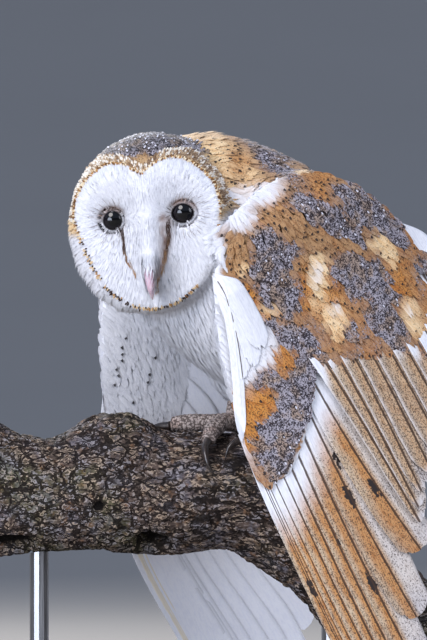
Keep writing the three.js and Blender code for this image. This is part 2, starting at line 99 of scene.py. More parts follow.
def smooth_rows(rows, count):
    """Values at evenly spaced places along a Catmull-Rom curve through the rows of a table."""
    rows = np.array(rows, float)
    padded = np.vstack([2 * rows[0] - rows[1], rows, 2 * rows[-1] - rows[-2]])
    t = np.linspace(0, len(rows) - 1, count)
    i = np.minimum(t.astype(int), len(rows) - 2)
    f = (t - i)[:, None]
    a, b, c, d = (padded[i + k] for k in range(4))
    return b + 0.5 * f * (c - a + f * (2 * a - 5 * b + 4 * c - d + f * (3 * (b - c) + d - a)))


def round_angles(count):
    return 2 * np.pi * np.arange(count) / count


def point_tree(points):
    tree = KDTree(len(points))
    for i, point in enumerate(points):
        tree.insert(point, i)
    tree.balance()
    return tree


# ---- the owl's own measures, the same as the solids' ----
PERCH_HEIGHT = 215
PERCH_Y = -12
PERCH_RADIUS = 32
HEADING = math.radians(27)
CHEST = np.array([-30.5, -35, PERCH_HEIGHT])
HEAD_CENTRE = np.array([-31.4, -44, PERCH_HEIGHT + 141])
HEAD_YAW, HEAD_ROLL, HEAD_PITCH = math.radians(-7), math.radians(-5.8), math.radians(6)
EYE = {"side": 18.4, "height": 4.7, "back": -13.2, "radius": 8.6}
WING_TILT = math.radians(27)
WRIST = np.array([0, -99, PERCH_HEIGHT + 119])
RIGHT_WING = {"turn": math.radians(4), "shift": np.array([5, 0, 0]), "fan": 0.2, "sweep": 20}
TAIL_FEATHERS = 12
TAIL = {"back": 146, "height": 44, "length": 118, "pitch": math.radians(48), "spread": math.radians(13)}

UP = np.array([0, 0, 1.0])
FORWARD = np.array([-math.cos(HEADING), -math.sin(HEADING), 0])
RIGHT = np.array([-math.sin(HEADING), math.cos(HEADING), 0])


def body_point(back, right, height):
    back, right, height = (np.asarray(v, float)[..., None] for v in (back, right, height))
    return CHEST - FORWARD * back + RIGHT * right + UP * height


def body_place(points):
    """How far back, to the right and above the branch's axis each point is."""
    offset = points - CHEST
    return -(offset @ FORWARD), offset @ RIGHT, offset[..., 2]


def mirrored(points):
    return points - 2 * ((points - CHEST) @ RIGHT)[..., None] * RIGHT


def turn_matrix(axis, angle):
    """The matrix of a turn about X, Y or Z."""
    c, s = math.cos(angle), math.sin(angle)
    i, j = [k for k in range(3) if k != axis]
    matrix = np.eye(3)
    matrix[i, i] = matrix[j, j] = c
    matrix[i, j], matrix[j, i] = (-s, s) if axis != 1 else (s, -s)
    return matrix


HEAD_TURN = turn_matrix(2, HEAD_YAW) @ turn_matrix(1, HEAD_ROLL) @ turn_matrix(0, HEAD_PITCH)


def head_point(local):
    return np.asarray(local, float) @ HEAD_TURN.T + HEAD_CENTRE


def head_place(points):
    """Places in the head's own frame: to the image's right, backwards and up from its centre."""
    return (points - HEAD_CENTRE) @ HEAD_TURN


# The facial disc's radius about a point 1 mm above the head's centre, by degrees from its top.
DISC_ANGLES = [0, 7, 15, 24, 35, 50, 65, 80, 92, 105, 120, 135, 150, 165, 180]
DISC_RADII = [26.6, 29.2, 33.2, 36.4, 38.7, 39.7, 40.2, 39.2, 37.0, 35.8, 36.6, 38.6, 41, 43.2, 43.9]


def disc_share(local):
    """How far out in the heart-shaped facial disc a place is: 0 at its middle and 1 on its rim."""
    x, z = local[..., 0], local[..., 2] - 1
    return np.hypot(x, z) / np.interp(np.degrees(np.arctan2(np.abs(x), z)), DISC_ANGLES, DISC_RADII)


ACROSS = np.array([math.cos(WING_TILT), 0, math.sin(WING_TILT)])
ALONG = np.array([math.sin(WING_TILT), 0, -math.cos(WING_TILT)])


def leading_edge(along):
    return np.where(along > 0, -31 * (1 - np.exp(-np.maximum(along, 0) / 45)), 0)


def wing_sheet(across, along):
    """Places on the left wing's sheet, which wraps round the body and curls at its tip."""
    inset = across - leading_edge(along)
    wrap = lerp(0.74, 0.62, np.clip(along / 250, 0, 1))
    belly = 7 * np.sin(np.pi * np.clip(inset / 120, 0, 1))
    curl = 0.00028 * np.maximum(along - 60, 0) ** 2
    y = wrap * inset - belly + curl
    flat = WRIST + ACROSS * across[..., None] + ALONG * along[..., None]
    return flat + y[..., None] * np.array([0, 1, 0])


def wing_frame(side, across, along, out):
    """Points of a wing `out` from its sheet, and the outward normals there. Side 1 is the right wing."""
    across, along, out = np.broadcast_arrays(*(np.asarray(v, float) for v in (across, along, out)))
    if side > 0:
        inset = np.clip((across - leading_edge(along)) / 60, 0, 1.5)
        across = across + RIGHT_WING["fan"] * inset * np.maximum(along - 70, 0)
        across = across + RIGHT_WING["sweep"] * (1 - bump(np.maximum(along - 140, 0), 75))
    u = wing_sheet(across + 2, along) - wing_sheet(across - 2, along)
    v = wing_sheet(across, along + 2) - wing_sheet(across, along - 2)
    normal = unit(np.cross(v, u))
    points = wing_sheet(across, along) + normal * out[..., None]
    if side < 0:
        return points, normal
    turn = turn_matrix(1, RIGHT_WING["turn"]).T
    wrist = mirrored(WRIST)
    normal = normal - 2 * (normal @ RIGHT)[..., None] * RIGHT
    return (mirrored(points) - wrist) @ turn + wrist + RIGHT_WING["shift"], normal @ turn


# Rows of the wings' feathered pads: along, first and last across, half-thickness.
ARM_ROWS = np.array([
    [-25, 40, 54, 3], [-18, 17, 70, 8], [-4, 3, 84, 10], [14, 0, 93, 9.5], [36, 3, 98, 8],
    [56, 12, 98, 5.5], [72, 26, 94, 3.5], [84, 48, 86, 1.8],
])
HAND_ROWS = np.array([
    [2, -1, 6, 3.5], [16, -9, 12, 6.5], [36, -17, 17, 6], [60, -23, 20, 4.8], [84, -26, 16, 3.6],
    [104, -27, 2, 2.4], [116, -26, -14, 1.4],
])


def pad_height(rows, across, along):
    first, last, half = (np.interp(along, rows[:, 0], rows[:, k]) for k in (1, 2, 3))
    inside = 1 - ((across - (first + last) / 2) / ((last - first) / 2)) ** 2
    ends = (along > rows[0, 0]) & (along < rows[-1, 0])
    return half * np.sqrt(np.clip(inside, 0, 1)) * ends


def wing_height(across, along):
    """How far the pads stand out from the wing's sheet."""
    return np.maximum(pad_height(ARM_ROWS, across, along), pad_height(HAND_ROWS, across, along))


def primary(share):
    """A primary's root and tip, from the innermost at 0 to the outermost at 1."""
    root = [lerp(18, -27, share), lerp(62, 84, share)]
    drawn_in = 61 * share * (1 - share) ** 2
    across = 29 - 64 * share + 4 * share**2 - drawn_in
    return root, [across, 181 + 176 * share - 62 * share**3]


def secondary(share):
    """A secondary's root and tip, from the outermost at 0 to the innermost at 1."""
    root = [lerp(25, 93, share), lerp(44, 26, share)]
    drawn_in = 7 * bump(share - 0.22, 0.2)
    across = 36 + 50 * share + 16 * share**2 - drawn_in
    return root, [across, 168 - 63 * share + 27 * share**2 - 34 * share**4]


# ---- markings ----
WHITE = colour("e8e9ed")
CREAM = colour("f0d3a6")
BUFF = colour("b48c62")
ORANGE = colour("c5863f")
GREY = colour("746d78")
SOOT = colour("231d1f")
UNDERWING = colour("f4f5fa")
COAT_COLOURS = {"grey": GREY, "buff": BUFF, "orange": ORANGE, "cream": CREAM, "white": WHITE}

# Patches on the wing's back by colour: across, along, two radii, the first one's turn from across, and
# strength.
WING_PATCHES = {
    "grey": [
        (22.5, 13, 10, 19, 27, 1.2), (26.5, 32, 8, 12, 57, 1.1), (60.5, 8, 20, 6, 57, 1.2),
        (80.5, 9, 16, 7, 47, 1.2), (88.5, 24, 14, 5, 77, 1.1), (54.5, 40, 9, 13, 7, 0.9),
        (66.5, 48, 16, 8, 62, 1.3), (63.5, 68, 14, 6, 77, 1.0), (20.5, 55, 9, 7, 62, 1.4),
        (9, 41, 5, 8, 27, 1.0), (11.5, 72, 9, 12, 57, 1.2), (47.5, 63, 7, 4, 27, 0.8),
        (3, 85, 9, 11, 27, 1.5), (-15, 98, 9, 13, 20, 1.6), (-6, 66, 8, 4, 27, 1.1),
    ],
    "buff": [
        (40.5, 1, 25, 6, 55, 1.3), (64.5, 25, 13, 4, 47, 1.2), (10.5, 0, 8, 9, 27, 1.1),
        (32.5, 24, 4, 10, 17, 1.0), (42.5, 40, 3, 8, 7, 0.8), (84.5, 57, 3, 21, 2, 0.8),
    ],
    "orange": [
        (3, 23, 4, 7, 2, 1.6), (-14, 74, 12, 7, 131, 2.1), (7, 62, 6, 6, 27, 1.0),
        (-26, 86, 11, 4, 125, 1.9), (33, 32, 3.5, 11, 10, 1.6), (42, 46, 8, 19, 12, 1.1),
        (82, 52, 6, 24, 2, 1.0), (10, 35, 9, 4, 27, 1.0),
    ],
    "cream": [
        (41, 33, 5, 11, 15, 2.3), (40, 54, 5, 8, 12, 2.2), (80.5, 34, 4, 9, -8, 2.1),
        (80.5, 70, 4, 8, 12, 1.9), (12, 33, 5, 2, 27, 1.2), (9.5, 8, 3, 3, 27, 0.9),
    ],
    "white": [
        (-8, 44, 13, 14, 0, 2.4), (-9, 29, 6, 16, 10, 2.0), (-17, 56, 6, 7, 0, 2.0),
        (41, 30, 3, 6, 15, 2.5), (41.5, 52, 2.5, 5, 12, 2.4), (80.5, 70, 2.5, 5, 12, 2.2),
        (19, -19, 8, 11, 67, 2.4), (34, -25, 13, 8, -8, 2.4),
    ],
}


def ellipse(x, y, centre_x, centre_y, radius_x, radius_y, turn):
    """1 at the middle of an ellipse, falling smoothly to about a third on its edge."""
    c, s = math.cos(math.radians(turn)), math.sin(math.radians(turn))
    dx, dy = x - centre_x, y - centre_y
    return np.exp(-(((dx * c + dy * s) / radius_x) ** 2) - ((dy * c - dx * s) / radius_y) ** 2)


def blend(weights):
    """Tint and marks from weights by colour name. Marks are pencilling, droplets and freckles."""
    zero = np.zeros_like(next(iter(weights.values())))
    w = np.stack([np.clip(weights.get(name, zero), 0, 3) for name in COAT_COLOURS], -1) ** 3 + 1e-9
    w = w / w.sum(-1, keepdims=True)
    grey, buff, orange, cream, white = np.moveaxis(w, -1, 0)
    droplets = buff + 0.7 * orange + 0.35 * cream + 0.8 * grey
    freckles = 0.75 * orange + 0.5 * buff + 0.3 * cream
    marks = np.stack([grey, droplets, freckles], -1) * (1 - smooth(0.35, 0.7, white))[..., None]
    return w @ np.stack(list(COAT_COLOURS.values())), marks


def wing_marks(side, across, along, under):
    """Tint and marks of the wing's coverts at a place; the underwing is white."""
    place = np.stack([across, along, np.full_like(across, 40.0 * side)], -1)
    drift = [noise(place, 12, 3 + i) * 3.5 + noise(place, 4, 5 + i) * 1.5 for i in (0, 1)]
    x, y = across + drift[0], along + drift[1]
    weights = {
        "buff": np.full_like(across, 0.33),
        "grey": 0.2 + 0.2 * noise(place, 9, 7),
        "orange": 0.2 + 0.3 * noise(place, 7, 19),
    }
    for name, patches in WING_PATCHES.items():
        for *patch, strength in patches:
            weights[name] = np.maximum(weights.get(name, 0), strength * ellipse(x, y, *patch))
    # White runs along the leading edge, and past the tips of the longest coverts.
    inset = across - leading_edge(along)
    band = 4.5 * bump(along + 8, 30) + 0.5 - 2 * smooth(50, 70, along) + (9 if side > 0 else 0)
    edge = 1 - smooth(band, band + 3, inset + 0.4 * drift[0])
    past = smooth(1, 4, along - np.interp(across, *COVERT_LINE.T)) * (1 - smooth(22, 30, across))
    weights["white"] = np.maximum(weights["white"], 2.5 * np.maximum(edge, past))
    tint, marks = blend(weights)
    under = np.broadcast_to(under, across.shape)[..., None]
    return lerp(tint, WHITE, under), marks * (1 - under)


# The dark lines from the eyes' inner corners down beside the ridge to the bill: x at each height z.
RIDGE_LINES = {
    # Partly a dark marking and partly painted shadow along the ridge's edge.
    -1: ([-31, -25.6, -17.5, -10, -2, 3], [-4.8, -7.4, -12.5, -14, -13.6, -13]),
    1: ([-35, -26.6, -19.5, -7.5, 1], [1.5, 3.3, 6.0, 9.5, 9.8]),
}
# The lower edge of the grey on the crown: z at each x.
CROWN_EDGE = ([-26, -4, 10, 23, 33], [38, 35, 36, 32.5, 34])


def head_marks(points):
    """Tint and marks of the head: a white facial disc, and grey, buff, cream and white round it."""
    local = head_place(points)
    x, y, z = (local[..., i] for i in range(3))
    rho = disc_share(local)
    disc = (1 - smooth(0.97, 1.0, rho)) * (1 - smooth(-8, -2, y))
    # Round the disc: a grey crown, buff about it, cream at its left, and white cheeks and throat.
    patchy = noise(points, 8, 8)
    crown = smooth(-2, 1.5, z + 0.1 * y - np.interp(x, *CROWN_EDGE) + 1.2 * patchy)
    crown = crown * smooth(-31, -26, x) * (1 - smooth(32, 38, x))
    left = 1 - smooth(-30, -23, x)
    cream = 0.75 * left + 0.55 + 0.3 * smooth(12, 26, x) + 0.35 * noise(points, 6, 10)
    weights = {
        "grey": crown * (1.5 + 0.4 * noise(points, 5, 9)) + 0.45 * left,
        "buff": 0.66 + 0.1 * patchy,
        "orange": 0.6 * bump(x + 14, 14) * bump(z - 35, 5) * (1 - smooth(-10, 0, y)),
        "cream": cream * smooth(-10, 4, z),
        "white": 2.2 * (1 - smooth(-2, 8, z + 2 * patchy - 0.2 * y)),
    }
    tint, marks = blend(weights)
    above = smooth(14, 32, z)[..., None] * np.array([0.2, 0.22, 0.26])
    tint = tint * (1 - above) * (1 - 0.35 * crown[..., None])
    # The disc is white, with a soft rusty stain from the left eye's inner corner down beside the ridge.
    beside = x - np.interp(z, *RIDGE_LINES[1])
    stain = bump(beside + 0.8, np.interp(z, [-30, -12, 0], [1.2, 2.6, 2.8]))
    stain = stain * smooth(-36, -24, z) * (1 - smooth(3, 8, z))
    stain = np.clip(stain * (0.6 + 0.45 * noise(points, 2.5, 12)), 0, 1)
    # A brownish rim lies round each eye, stronger above it and at its outer corner.
    above_eye = z - EYE["height"]
    eye_gap = np.hypot(np.abs(x) - EYE["side"], above_eye)
    outer = smooth(19, 24, np.abs(x)) * bump(above_eye - 3.5, 3)
    rim = bump(eye_gap - 6.5, 1.7) * (0.2 + 0.8 * np.maximum(outer, smooth(3, 6, above_eye)))
    face = lerp(WHITE, colour("8a5f41"), stain[..., None])
    face = lerp(face, colour("8b6f60"), np.clip(rim, 0, 1)[..., None])
    return lerp(tint, face, disc[..., None]), marks * (1 - disc)[..., None]


# Where the darker back meets the white underparts: height by distance back.
FLANK_LINE = ([-10, 20, 60, 110, 165], [152, 150, 136, 104, 62])


def body_marks(points):
    """The neck, back, breast and legs: buff and grey above, white below and at the sides of the neck."""
    back, right, height = body_place(points)
    patchy = noise(points, 13, 13)
    line = np.interp(back, *FLANK_LINE)
    above = smooth(-6, 6, height - line - 0.1 * np.abs(right) + 5 * patchy)
    neck_side = 2.2 * bump(back - 18, 26) * smooth(24, 34, np.abs(right)) * smooth(110, 130, height)
    neck_side = neck_side * (1 - smooth(154, 163, height + 3 * patchy))
    chest = 0.8 * smooth(0.1, 0.6, noise(points, 14, 18)) * (1 - smooth(20, 50, back))
    grey = (0.55 + 0.8 * noise(points, 17, 14)) * smooth(25, 60, back)
    weights = {
        "grey": grey + 0.35 * smooth(60, 100, back),
        "buff": 0.75 + 0.3 * noise(points, 11, 15),
        "cream": 0.35 + 0.5 * (1 - smooth(20, 45, back)) + 0.7 * noise(points, 9, 16),
        "orange": 0.3 + 0.7 * noise(points, 14, 17),
        "white": np.maximum(neck_side, chest),
    }
    tint, marks = blend(weights)
    return lerp(WHITE, tint, above[..., None]), marks * above[..., None]


def even(tint):
    """Markings of one tint everywhere."""

    def marks(points):
        return np.broadcast_to(tint, points.shape), np.zeros(points.shape)

    return marks


def ridge_marks(points):
    """Nearly black by the eye and rusty towards the bill; on the line at x < 0 the dark is partly painted
    shadow.
    """
    z = head_place(points)[..., 2] + 6 * noise(points, 2, 24)
    return lerp(colour("b8926c"), colour("4a342a"), smooth(-24, -8, z)[..., None]), np.zeros(points.shape)


def ruff_marks(points):
    """Short stiff feathers round the disc: each one brown, tan or cream, and paler above."""
    kind = np.broadcast_to(noise(points[:, :1], 0.8, 21), points.shape[:2])
    above = smooth(-8, 4, head_place(points)[..., 2])[..., None]
    brown = lerp(colour("3b281c"), colour("7a5632"), above)
    cream = lerp(colour("ddc39a"), colour("ead9b8"), above)
    tint = np.where((kind > 0.12)[..., None], brown, colour("b98d57"))
    tint = np.where((kind < -0.15)[..., None], cream, tint)
    return tint, np.zeros(points.shape)


def brow_marks(points):
    """The band above the ruff: buff and cream, paler over the left eye, with rusty specks."""
    left = 1 - smooth(-32, -14, head_place(points)[..., 0])
    kind = noise(points[:, :1], 1.2, 23) - 0.3 * left
    tint = np.where((kind > 0.16)[..., None], colour("8f745a"), colour("c2a98a"))
    tint = np.where((kind < -0.12)[..., None], colour("ebe3d6"), tint)
    return tint, np.broadcast_to(np.array([0, 0, 0.5]), points.shape)


# ---- meshes ----
def mesh_piece(name, points, faces, material, uvs=None, attributes=None):
    """A mesh object from points in millimetres, with maps named in uvs and values named in attributes."""
    mesh = bpy.data.meshes.new(name)
    mesh.from_pydata(np.asarray(points, float).reshape(-1, 3) * MM, [], np.asarray(faces))
    corners = np.asarray(faces).ravel()
    for key, values in (uvs or {}).items():
        layer = mesh.uv_layers.new(name=key)
        layer.data.foreach_set("uv", values.reshape(-1, 2)[corners].astype(np.float32).ravel())
    for key, values in (attributes or {}).items():
        set_attribute(mesh, key, values)
    mesh.shade_smooth()
    mesh.materials.append(material)
    piece = bpy.data.objects.new(name, mesh)
    bpy.context.scene.collection.objects.link(piece)
    return piece


def set_attribute(mesh, key, values):
    values = np.asarray(values, np.float32)
    values = values.reshape(-1, values.shape[-1])
    if key == "tint":
        values = np.hstack([values, np.ones((len(values), 1), np.float32)])
        mesh.attributes.new(key, "FLOAT_COLOR", "POINT").data.foreach_set("color", values.ravel())
    else:
        mesh.attributes.new(key, "FLOAT_VECTOR", "POINT").data.foreach_set("vector", values.ravel())


def read(items, key, width, kind=float):
    """A property of every item of one of a mesh's lists, as the rows of an array."""
    values = np.empty(len(items) * width, kind)
    items.foreach_get(key, values)
    return values.reshape(-1, width)


def mesh_arrays(mesh):
    """A mesh's points in millimetres, their normals, and its triangles."""
    points, normals = read(mesh.vertices, "co", 3) / MM, read(mesh.vertices, "normal", 3)
    mesh.calc_loop_triangles()
    return points, normals, read(mesh.loop_triangles, "vertices", 3, int)


def triangle_cross(corners):
    """The cross product of two sides of each triangle: its normal, as long as twice its area."""
    return np.cross(corners[:, 1] - corners[:, 0], corners[:, 2] - corners[:, 0])


def grid_faces(rows, columns, closed=False):
    """Quads of one grid of points, row by row; closed joins its last column to its first."""
    last = columns if closed else columns - 1
    row, this = np.meshgrid(np.arange(rows - 1), np.arange(last), indexing="ij")
    near, far, following = row * columns, (row + 1) * columns, (this + 1) % columns
    return np.stack([near + this, near + following, far + following, far + this], -1).reshape(-1, 4)


def many_faces(faces, count, points_each):
    """The faces of `count` equal meshes whose points follow each other."""
    return (faces[None] + points_each * np.arange(count)[:, None, None]).reshape(-1, faces.shape[1])


def stacked(parts):
    """Several meshes, each given as points and faces, as one."""
    points, faces, total = [], [], 0
    for place, corners in parts:
        points.append(place)
        faces.append(corners + total)
        total += len(place)
    return np.vstack(points), np.vstack(faces)


def tube(path, radii, sides, across):
    """Points round a path, [rows, sides], with a radius along `across` and one the other way."""
    tangent = unit(np.gradient(path, axis=0))
    u = unit(across - tangent * (tangent @ across)[:, None])
    v = np.cross(tangent, u)
    angle = round_angles(sides)
    around = u[:, None] * (radii[:, :1] * np.cos(angle))[..., None]
    around = around + v[:, None] * (radii[:, 1:] * np.sin(angle))[..., None]
    return path[:, None] + around


def capped(points):
    """Points and faces of a tube closed by a small cap at each end; its faces are all quads."""
    rows, sides = points.shape[:2]
    ends = [points[:1].mean(1, keepdims=True), points[-1:].mean(1, keepdims=True)]
    first, last = (end + (ring - end) * 0.05 for end, ring in zip(ends, (points[:1], points[-1:])))
    points = np.concatenate([first, points, last])
    return points.reshape(-1, 3), grid_faces(rows + 2, sides, closed=True)


# ---- materials ----
class Wire:
    """A node's output. Arithmetic on it adds Math nodes to its material."""

    def __init__(self, graph, socket):
        self.graph = graph
        self.socket = socket

    def __add__(self, other):
        return self.graph.math("ADD", self, other)

    def __sub__(self, other):
        return self.graph.math("SUBTRACT", self, other)

    def __rsub__(self, other):
        return self.graph.math("SUBTRACT", other, self)

    def __mul__(self, other):
        return self.graph.math("MULTIPLY", self, other)

    def __truediv__(self, other):
        return self.graph.math("DIVIDE", self, other)

    def __pow__(self, other):
        return self.graph.math("POWER", self, other)

    def __abs__(self):
        return self.graph.math("ABSOLUTE", self)


class Graph:
    """One material, its nodes written as calls. A value may be a number, a colour or a wire."""

    def __init__(self, name, finish):
        self.material = bpy.data.materials.new(name)
        self.material.use_nodes = True
        self.tree = self.material.node_tree
        self.shader = self.tree.nodes["Principled BSDF"]
        self.place = self.node("TexCoord", output="Object")
        self.feed(self.shader, finish)

    def feed(self, node, values):
        for key, value in values.items():
            if isinstance(value, Wire):
                self.tree.links.new(value.socket, node.inputs[key])
                continue
            if isinstance(value, str):
                value = colour(value)
            node.inputs[key].default_value = (*value, 1) if isinstance(value, np.ndarray) else value

    def node(self, kind, values=None, output=0, **settings):
        """Adds a node and gives one of its outputs, or all of them where output is None."""
        node = self.tree.nodes.new("ShaderNode" + kind)
        for key, value in settings.items():
            setattr(node, key, value)
        self.feed(node, values or {})
        if output is None:
            return [Wire(self, socket) for socket in node.outputs]
        return Wire(self, node.outputs[output])

    def math(self, operation, *values):
        return self.node("Math", dict(enumerate(values)), operation=operation)

    def vector_math(self, operation, *values):
        return self.node("VectorMath", dict(enumerate(values)), operation=operation)

    def mix(self, share, first, second, **settings):
        return self.node("Mix", {0: share, 6: first, 7: second}, 2, data_type="RGBA", **settings)

    def step(self, value, low, high):
        """0 below low, 1 above high and smooth between them; high may be the lower of the two."""
        if low > high:
            return 1 - self.step(value, high, low)
        values = {"Value": value, "From Min": low, "From Max": high}
        return self.node("MapRange", values, "Result", interpolation_type="SMOOTHSTEP")

    def noise(self, size, detail, seed, at=None):
        """Noise about 0.5 with features about `size` millimetres across."""
        values = {"Vector": at or self.place, "Scale": 1000 / size, "Detail": detail, "W": seed}
        return self.node("TexNoise", values, "Fac", noise_dimensions="4D")

    def warped(self, size, reach):
        """The place, shifted unevenly by up to about half of `reach` millimetres."""
        values = {"Vector": self.place, "Scale": 1000 / size, "Detail": 2}
        shift = self.node("TexNoise", values, "Color")
        return self.vector_math("MULTIPLY_ADD", shift, [reach * MM] * 3, self.place)

    def cells(self, size, seed, feature="F1", at=None):
        """Distance from the nearest of scattered points, or from the edges between their cells."""
        values = {"Vector": at or self.place, "Scale": 1000 / size, "W": seed}
        return self.node("TexVoronoi", values, "Distance", voronoi_dimensions="4D", feature=feature)

    def attribute(self, name, output="Vector"):
        return self.node("Attribute", output=output, attribute_name=name)

    def split(self, vector):
        return self.node("SeparateXYZ", {0: vector}, None)

    def scaled(self, vector, factors):
        return self.vector_math("MULTIPLY", vector, factors)

    def finish(self, tint, bump=None, height=0.3, roughness=None):
        """Sets the colour, and a bump whose full height is given in millimetres."""
        self.feed(self.shader, {"Base Color": tint})
        if roughness is not None:
            self.feed(self.shader, {"Roughness": roughness})
        if bump is not None:
            values = {"Height": bump, "Distance": height * MM, "Strength": 1.0}
            self.feed(self.shader, {"Normal": self.node("Bump", values)})
        return self.material


def pencilled(g, tint, grizzle, freckle):
    """Grey parts as black and pale scribbles, brownish here and there, and freckles elsewhere."""
    scribble = g.noise(0.75, 1, 1) + g.noise(3, 2, 4) * 0.45 - 0.225
    pattern = g.mix(g.step(scribble, 0.42, 0.56), "2b252a", "aba6ae")
    brown = g.mix(g.step(scribble, 0.43, 0.57), "38291f", "ab8f70")
    pattern = g.mix(g.step(g.noise(7, 3, 2), 0.46, 0.62) * 0.7, pattern, brown)
    # Where the tint is darker than the usual grey, so is the pattern.
    depth = g.math("MINIMUM", g.split(tint)[0] / float(GREY[0]), 1)
    pattern = g.node("VectorMath", {0: pattern, "Scale": depth}, operation="SCALE")
    ragged = grizzle + (g.noise(1.1, 2, 5) - 0.5) * 1.1
    tint = g.mix(g.step(ragged, 0.3, 0.48) * 0.9, tint, pattern)
    specks = g.step(g.noise(0.8, 1, 3) + freckle * 0.2, 0.66, 0.76) * g.step(freckle, 0.05, 0.3)
    return g.mix(specks * 0.7, tint, "3b2d27")


BARB_SPACING = 0.7


def barbs(g, tint, across, gap):
    """Barbs that run out from the shaft and forwards, part here and there with painted shade, and vary in
    depth of colour.
    """
    run = gap + abs(across) * 0.9
    wave = g.math("SINE", run * (2 * math.pi / BARB_SPACING))
    streak = wave * 0.2 + g.noise(1.1, 3, 6)
    along = g.node("CombineXYZ", {0: across * MM, 1: gap * (0.14 * MM)})
    along = g.vector_math("ADD", along, g.scaled(g.place, [0.2, 0.2, 0.2]))
    deep = g.step(g.noise(0.8, 2, 9, along), 0.42, 0.66) * 0.55
    tint = g.mix(deep, tint, tint, blend_type="MULTIPLY")
    # Painted shade: where the streaks' bump is low, where the barbs part, the tint is darkened towards soot.
    return g.mix(g.step(streak, 0.5, 0.1) * 0.12, tint, g.mix(0.5, tint, SOOT)), streak


def spot_on(across, gap, half_width, centre, half_length):
    """How far a place is from a spot's middle, as a square that is 1 on the spot's edge."""
    return (across / half_width) ** 2 + ((gap - centre) / half_length) ** 2


FEATHER = {"Roughness": 0.65, "Specular IOR Level": 0.2, "Sheen Weight": 0.1, "Sheen Roughness": 0.4}


def plumage():
    """Coverts and body feathers: a tint from the mesh, pencilling, and a dark arrow near the tip."""
    g = Graph("plumes", FEATHER)
    grizzle, droplet, freckle = g.split(g.attribute("marks"))
    across, gap, _ = g.split(g.attribute("span"))
    tint = pencilled(g, g.attribute("tint", "Color"), grizzle, freckle)
    side = abs(across)
    strong = g.step(droplet, 0.3, 0.45)
    spot = g.step(spot_on(side, gap - side * 0.8, 0.78, 1.5, 1.0), 1.1, 0.75) * strong
    tint, streak = barbs(g, tint, across, gap)
    tint = g.mix(spot * 0.93, tint, SOOT)
    fleck = g.step(spot_on(side, gap, 0.5, 1.1, 0.95), 1.1, 0.7) * (strong * g.step(grizzle, 0.4, 0.6))
    fleck = fleck * g.step(g.noise(5, 1, 8), 0.44, 0.48)
    return g.finish(g.mix(fleck, tint, "cfcdd6"), streak, 0.1)


def flight_plumage():
    """Flight feathers: pencilled and freckled webs with dark blotches, on a dark shaft whose line is partly
    painted shadow.
    """
    g = Graph("flight_plumes", FEATHER)
    grizzle, blotch, freckle = g.split(g.attribute("marks"))
    across, gap, shaft = g.split(g.attribute("span"))
    tint = pencilled(g, g.attribute("tint", "Color"), grizzle, freckle)
    ragged = blotch + (g.noise(2.2, 3, 4) - 0.5) * 1.2
    tint, streak = barbs(g, tint, across, gap)
    tint = g.mix(g.step(ragged, 0.42, 0.56), tint, "2c2422")
    # A shaft's value in the mesh is its half-width, and less than 0 where it is pale.
    # The dark line is partly the shaft's own colour and partly painted shadow along the edge where the
    # neighbouring feather laps over; its width varies for that.
    width = (abs(shaft) + 0.001) * (g.noise(5, 2, 5) * 1.5 + 0.35)
    quill = g.step(abs(across) / width, 0.8, 0.4) * 0.92
    horn = g.mix(g.step(shaft, -0.1, 0.1), "ede3cc", "402e23")
    return g.finish(g.mix(quill, tint, horn), streak, 0.1)


def skin_finish():
    """Down and skin under the feathers, with the same tint and pencilling as they have, and painted shade in
    the down's hollows.
    """
    g = Graph("down", {"Roughness": 0.85, "Specular IOR Level": 0.2, "Sheen Weight": 0.2})
    grizzle, _, freckle = g.split(g.attribute("marks"))
    tint = pencilled(g, g.attribute("tint", "Color"), grizzle, freckle)
    down = g.noise(0.8, 4, 7, g.scaled(g.place, [1, 1, 0.35]))
    # Painted shade: the low places of the down's bump are darkened towards soot.
    tint = g.mix(g.step(down, 0.5, 0.35) * 0.12, tint, g.mix(0.5, tint, SOOT))
    return g.finish(tint, down, 0.4)


def eye_finish():
    """A nearly black iris round a black pupil, under a wet gloss."""
    finish = {"Roughness": 0.05, "Specular IOR Level": 0.25, "Coat Weight": 0.35, "Coat Roughness": 0.03}
    g = Graph("eye", finish)
    x, _, z = g.split(g.node("TexCoord", output="Generated"))
    radius = g.math("SQRT", (x - 0.5) ** 2 + (z - 0.5) ** 2)
    iris = g.mix(g.step(g.noise(0.7, 3, 1), 0.3, 0.7), "0a0a10", "181216")
    return g.finish(g.mix(g.step(radius, 0.2, 0.24), "020203", iris))


def lid_finish():
    g = Graph("lid", {"Roughness": 0.55, "Specular IOR Level": 0.4})
    folds = g.noise(0.6, 4, 2)
    tint = g.attribute("tint", "Color")
    # Painted shade: the low places of the folds' bump are darkened towards soot.
    return g.finish(g.mix(g.step(folds, 0.55, 0.35), tint, g.mix(0.6, tint, SOOT)), folds, 0.15)


def bill_finish():
    """Pink horn, paler at the tip, with fine lengthwise grain."""
    finish = {"Roughness": 0.32, "Coat Weight": 0.3, "Coat Roughness": 0.2}
    g = Graph("bill_horn", {**finish, "Subsurface Weight": 0.15, "Subsurface Scale": 0.002})
    grain = g.noise(0.5, 3, 4, g.scaled(g.place, [1, 1, 0.25]))
    tint = g.mix(g.step(g.noise(4, 2, 5), 0.35, 0.65), "d6bcc8", "bd97aa")
    height = g.split(g.node("TexCoord", output="Generated"))[2]
    tint = g.mix(g.step(height, 0.3, 0) * 0.5, tint, "e9dfdc")
    return g.finish(g.mix(g.step(grain, 0.5, 0.3), tint, "a8818f"), grain, 0.05)


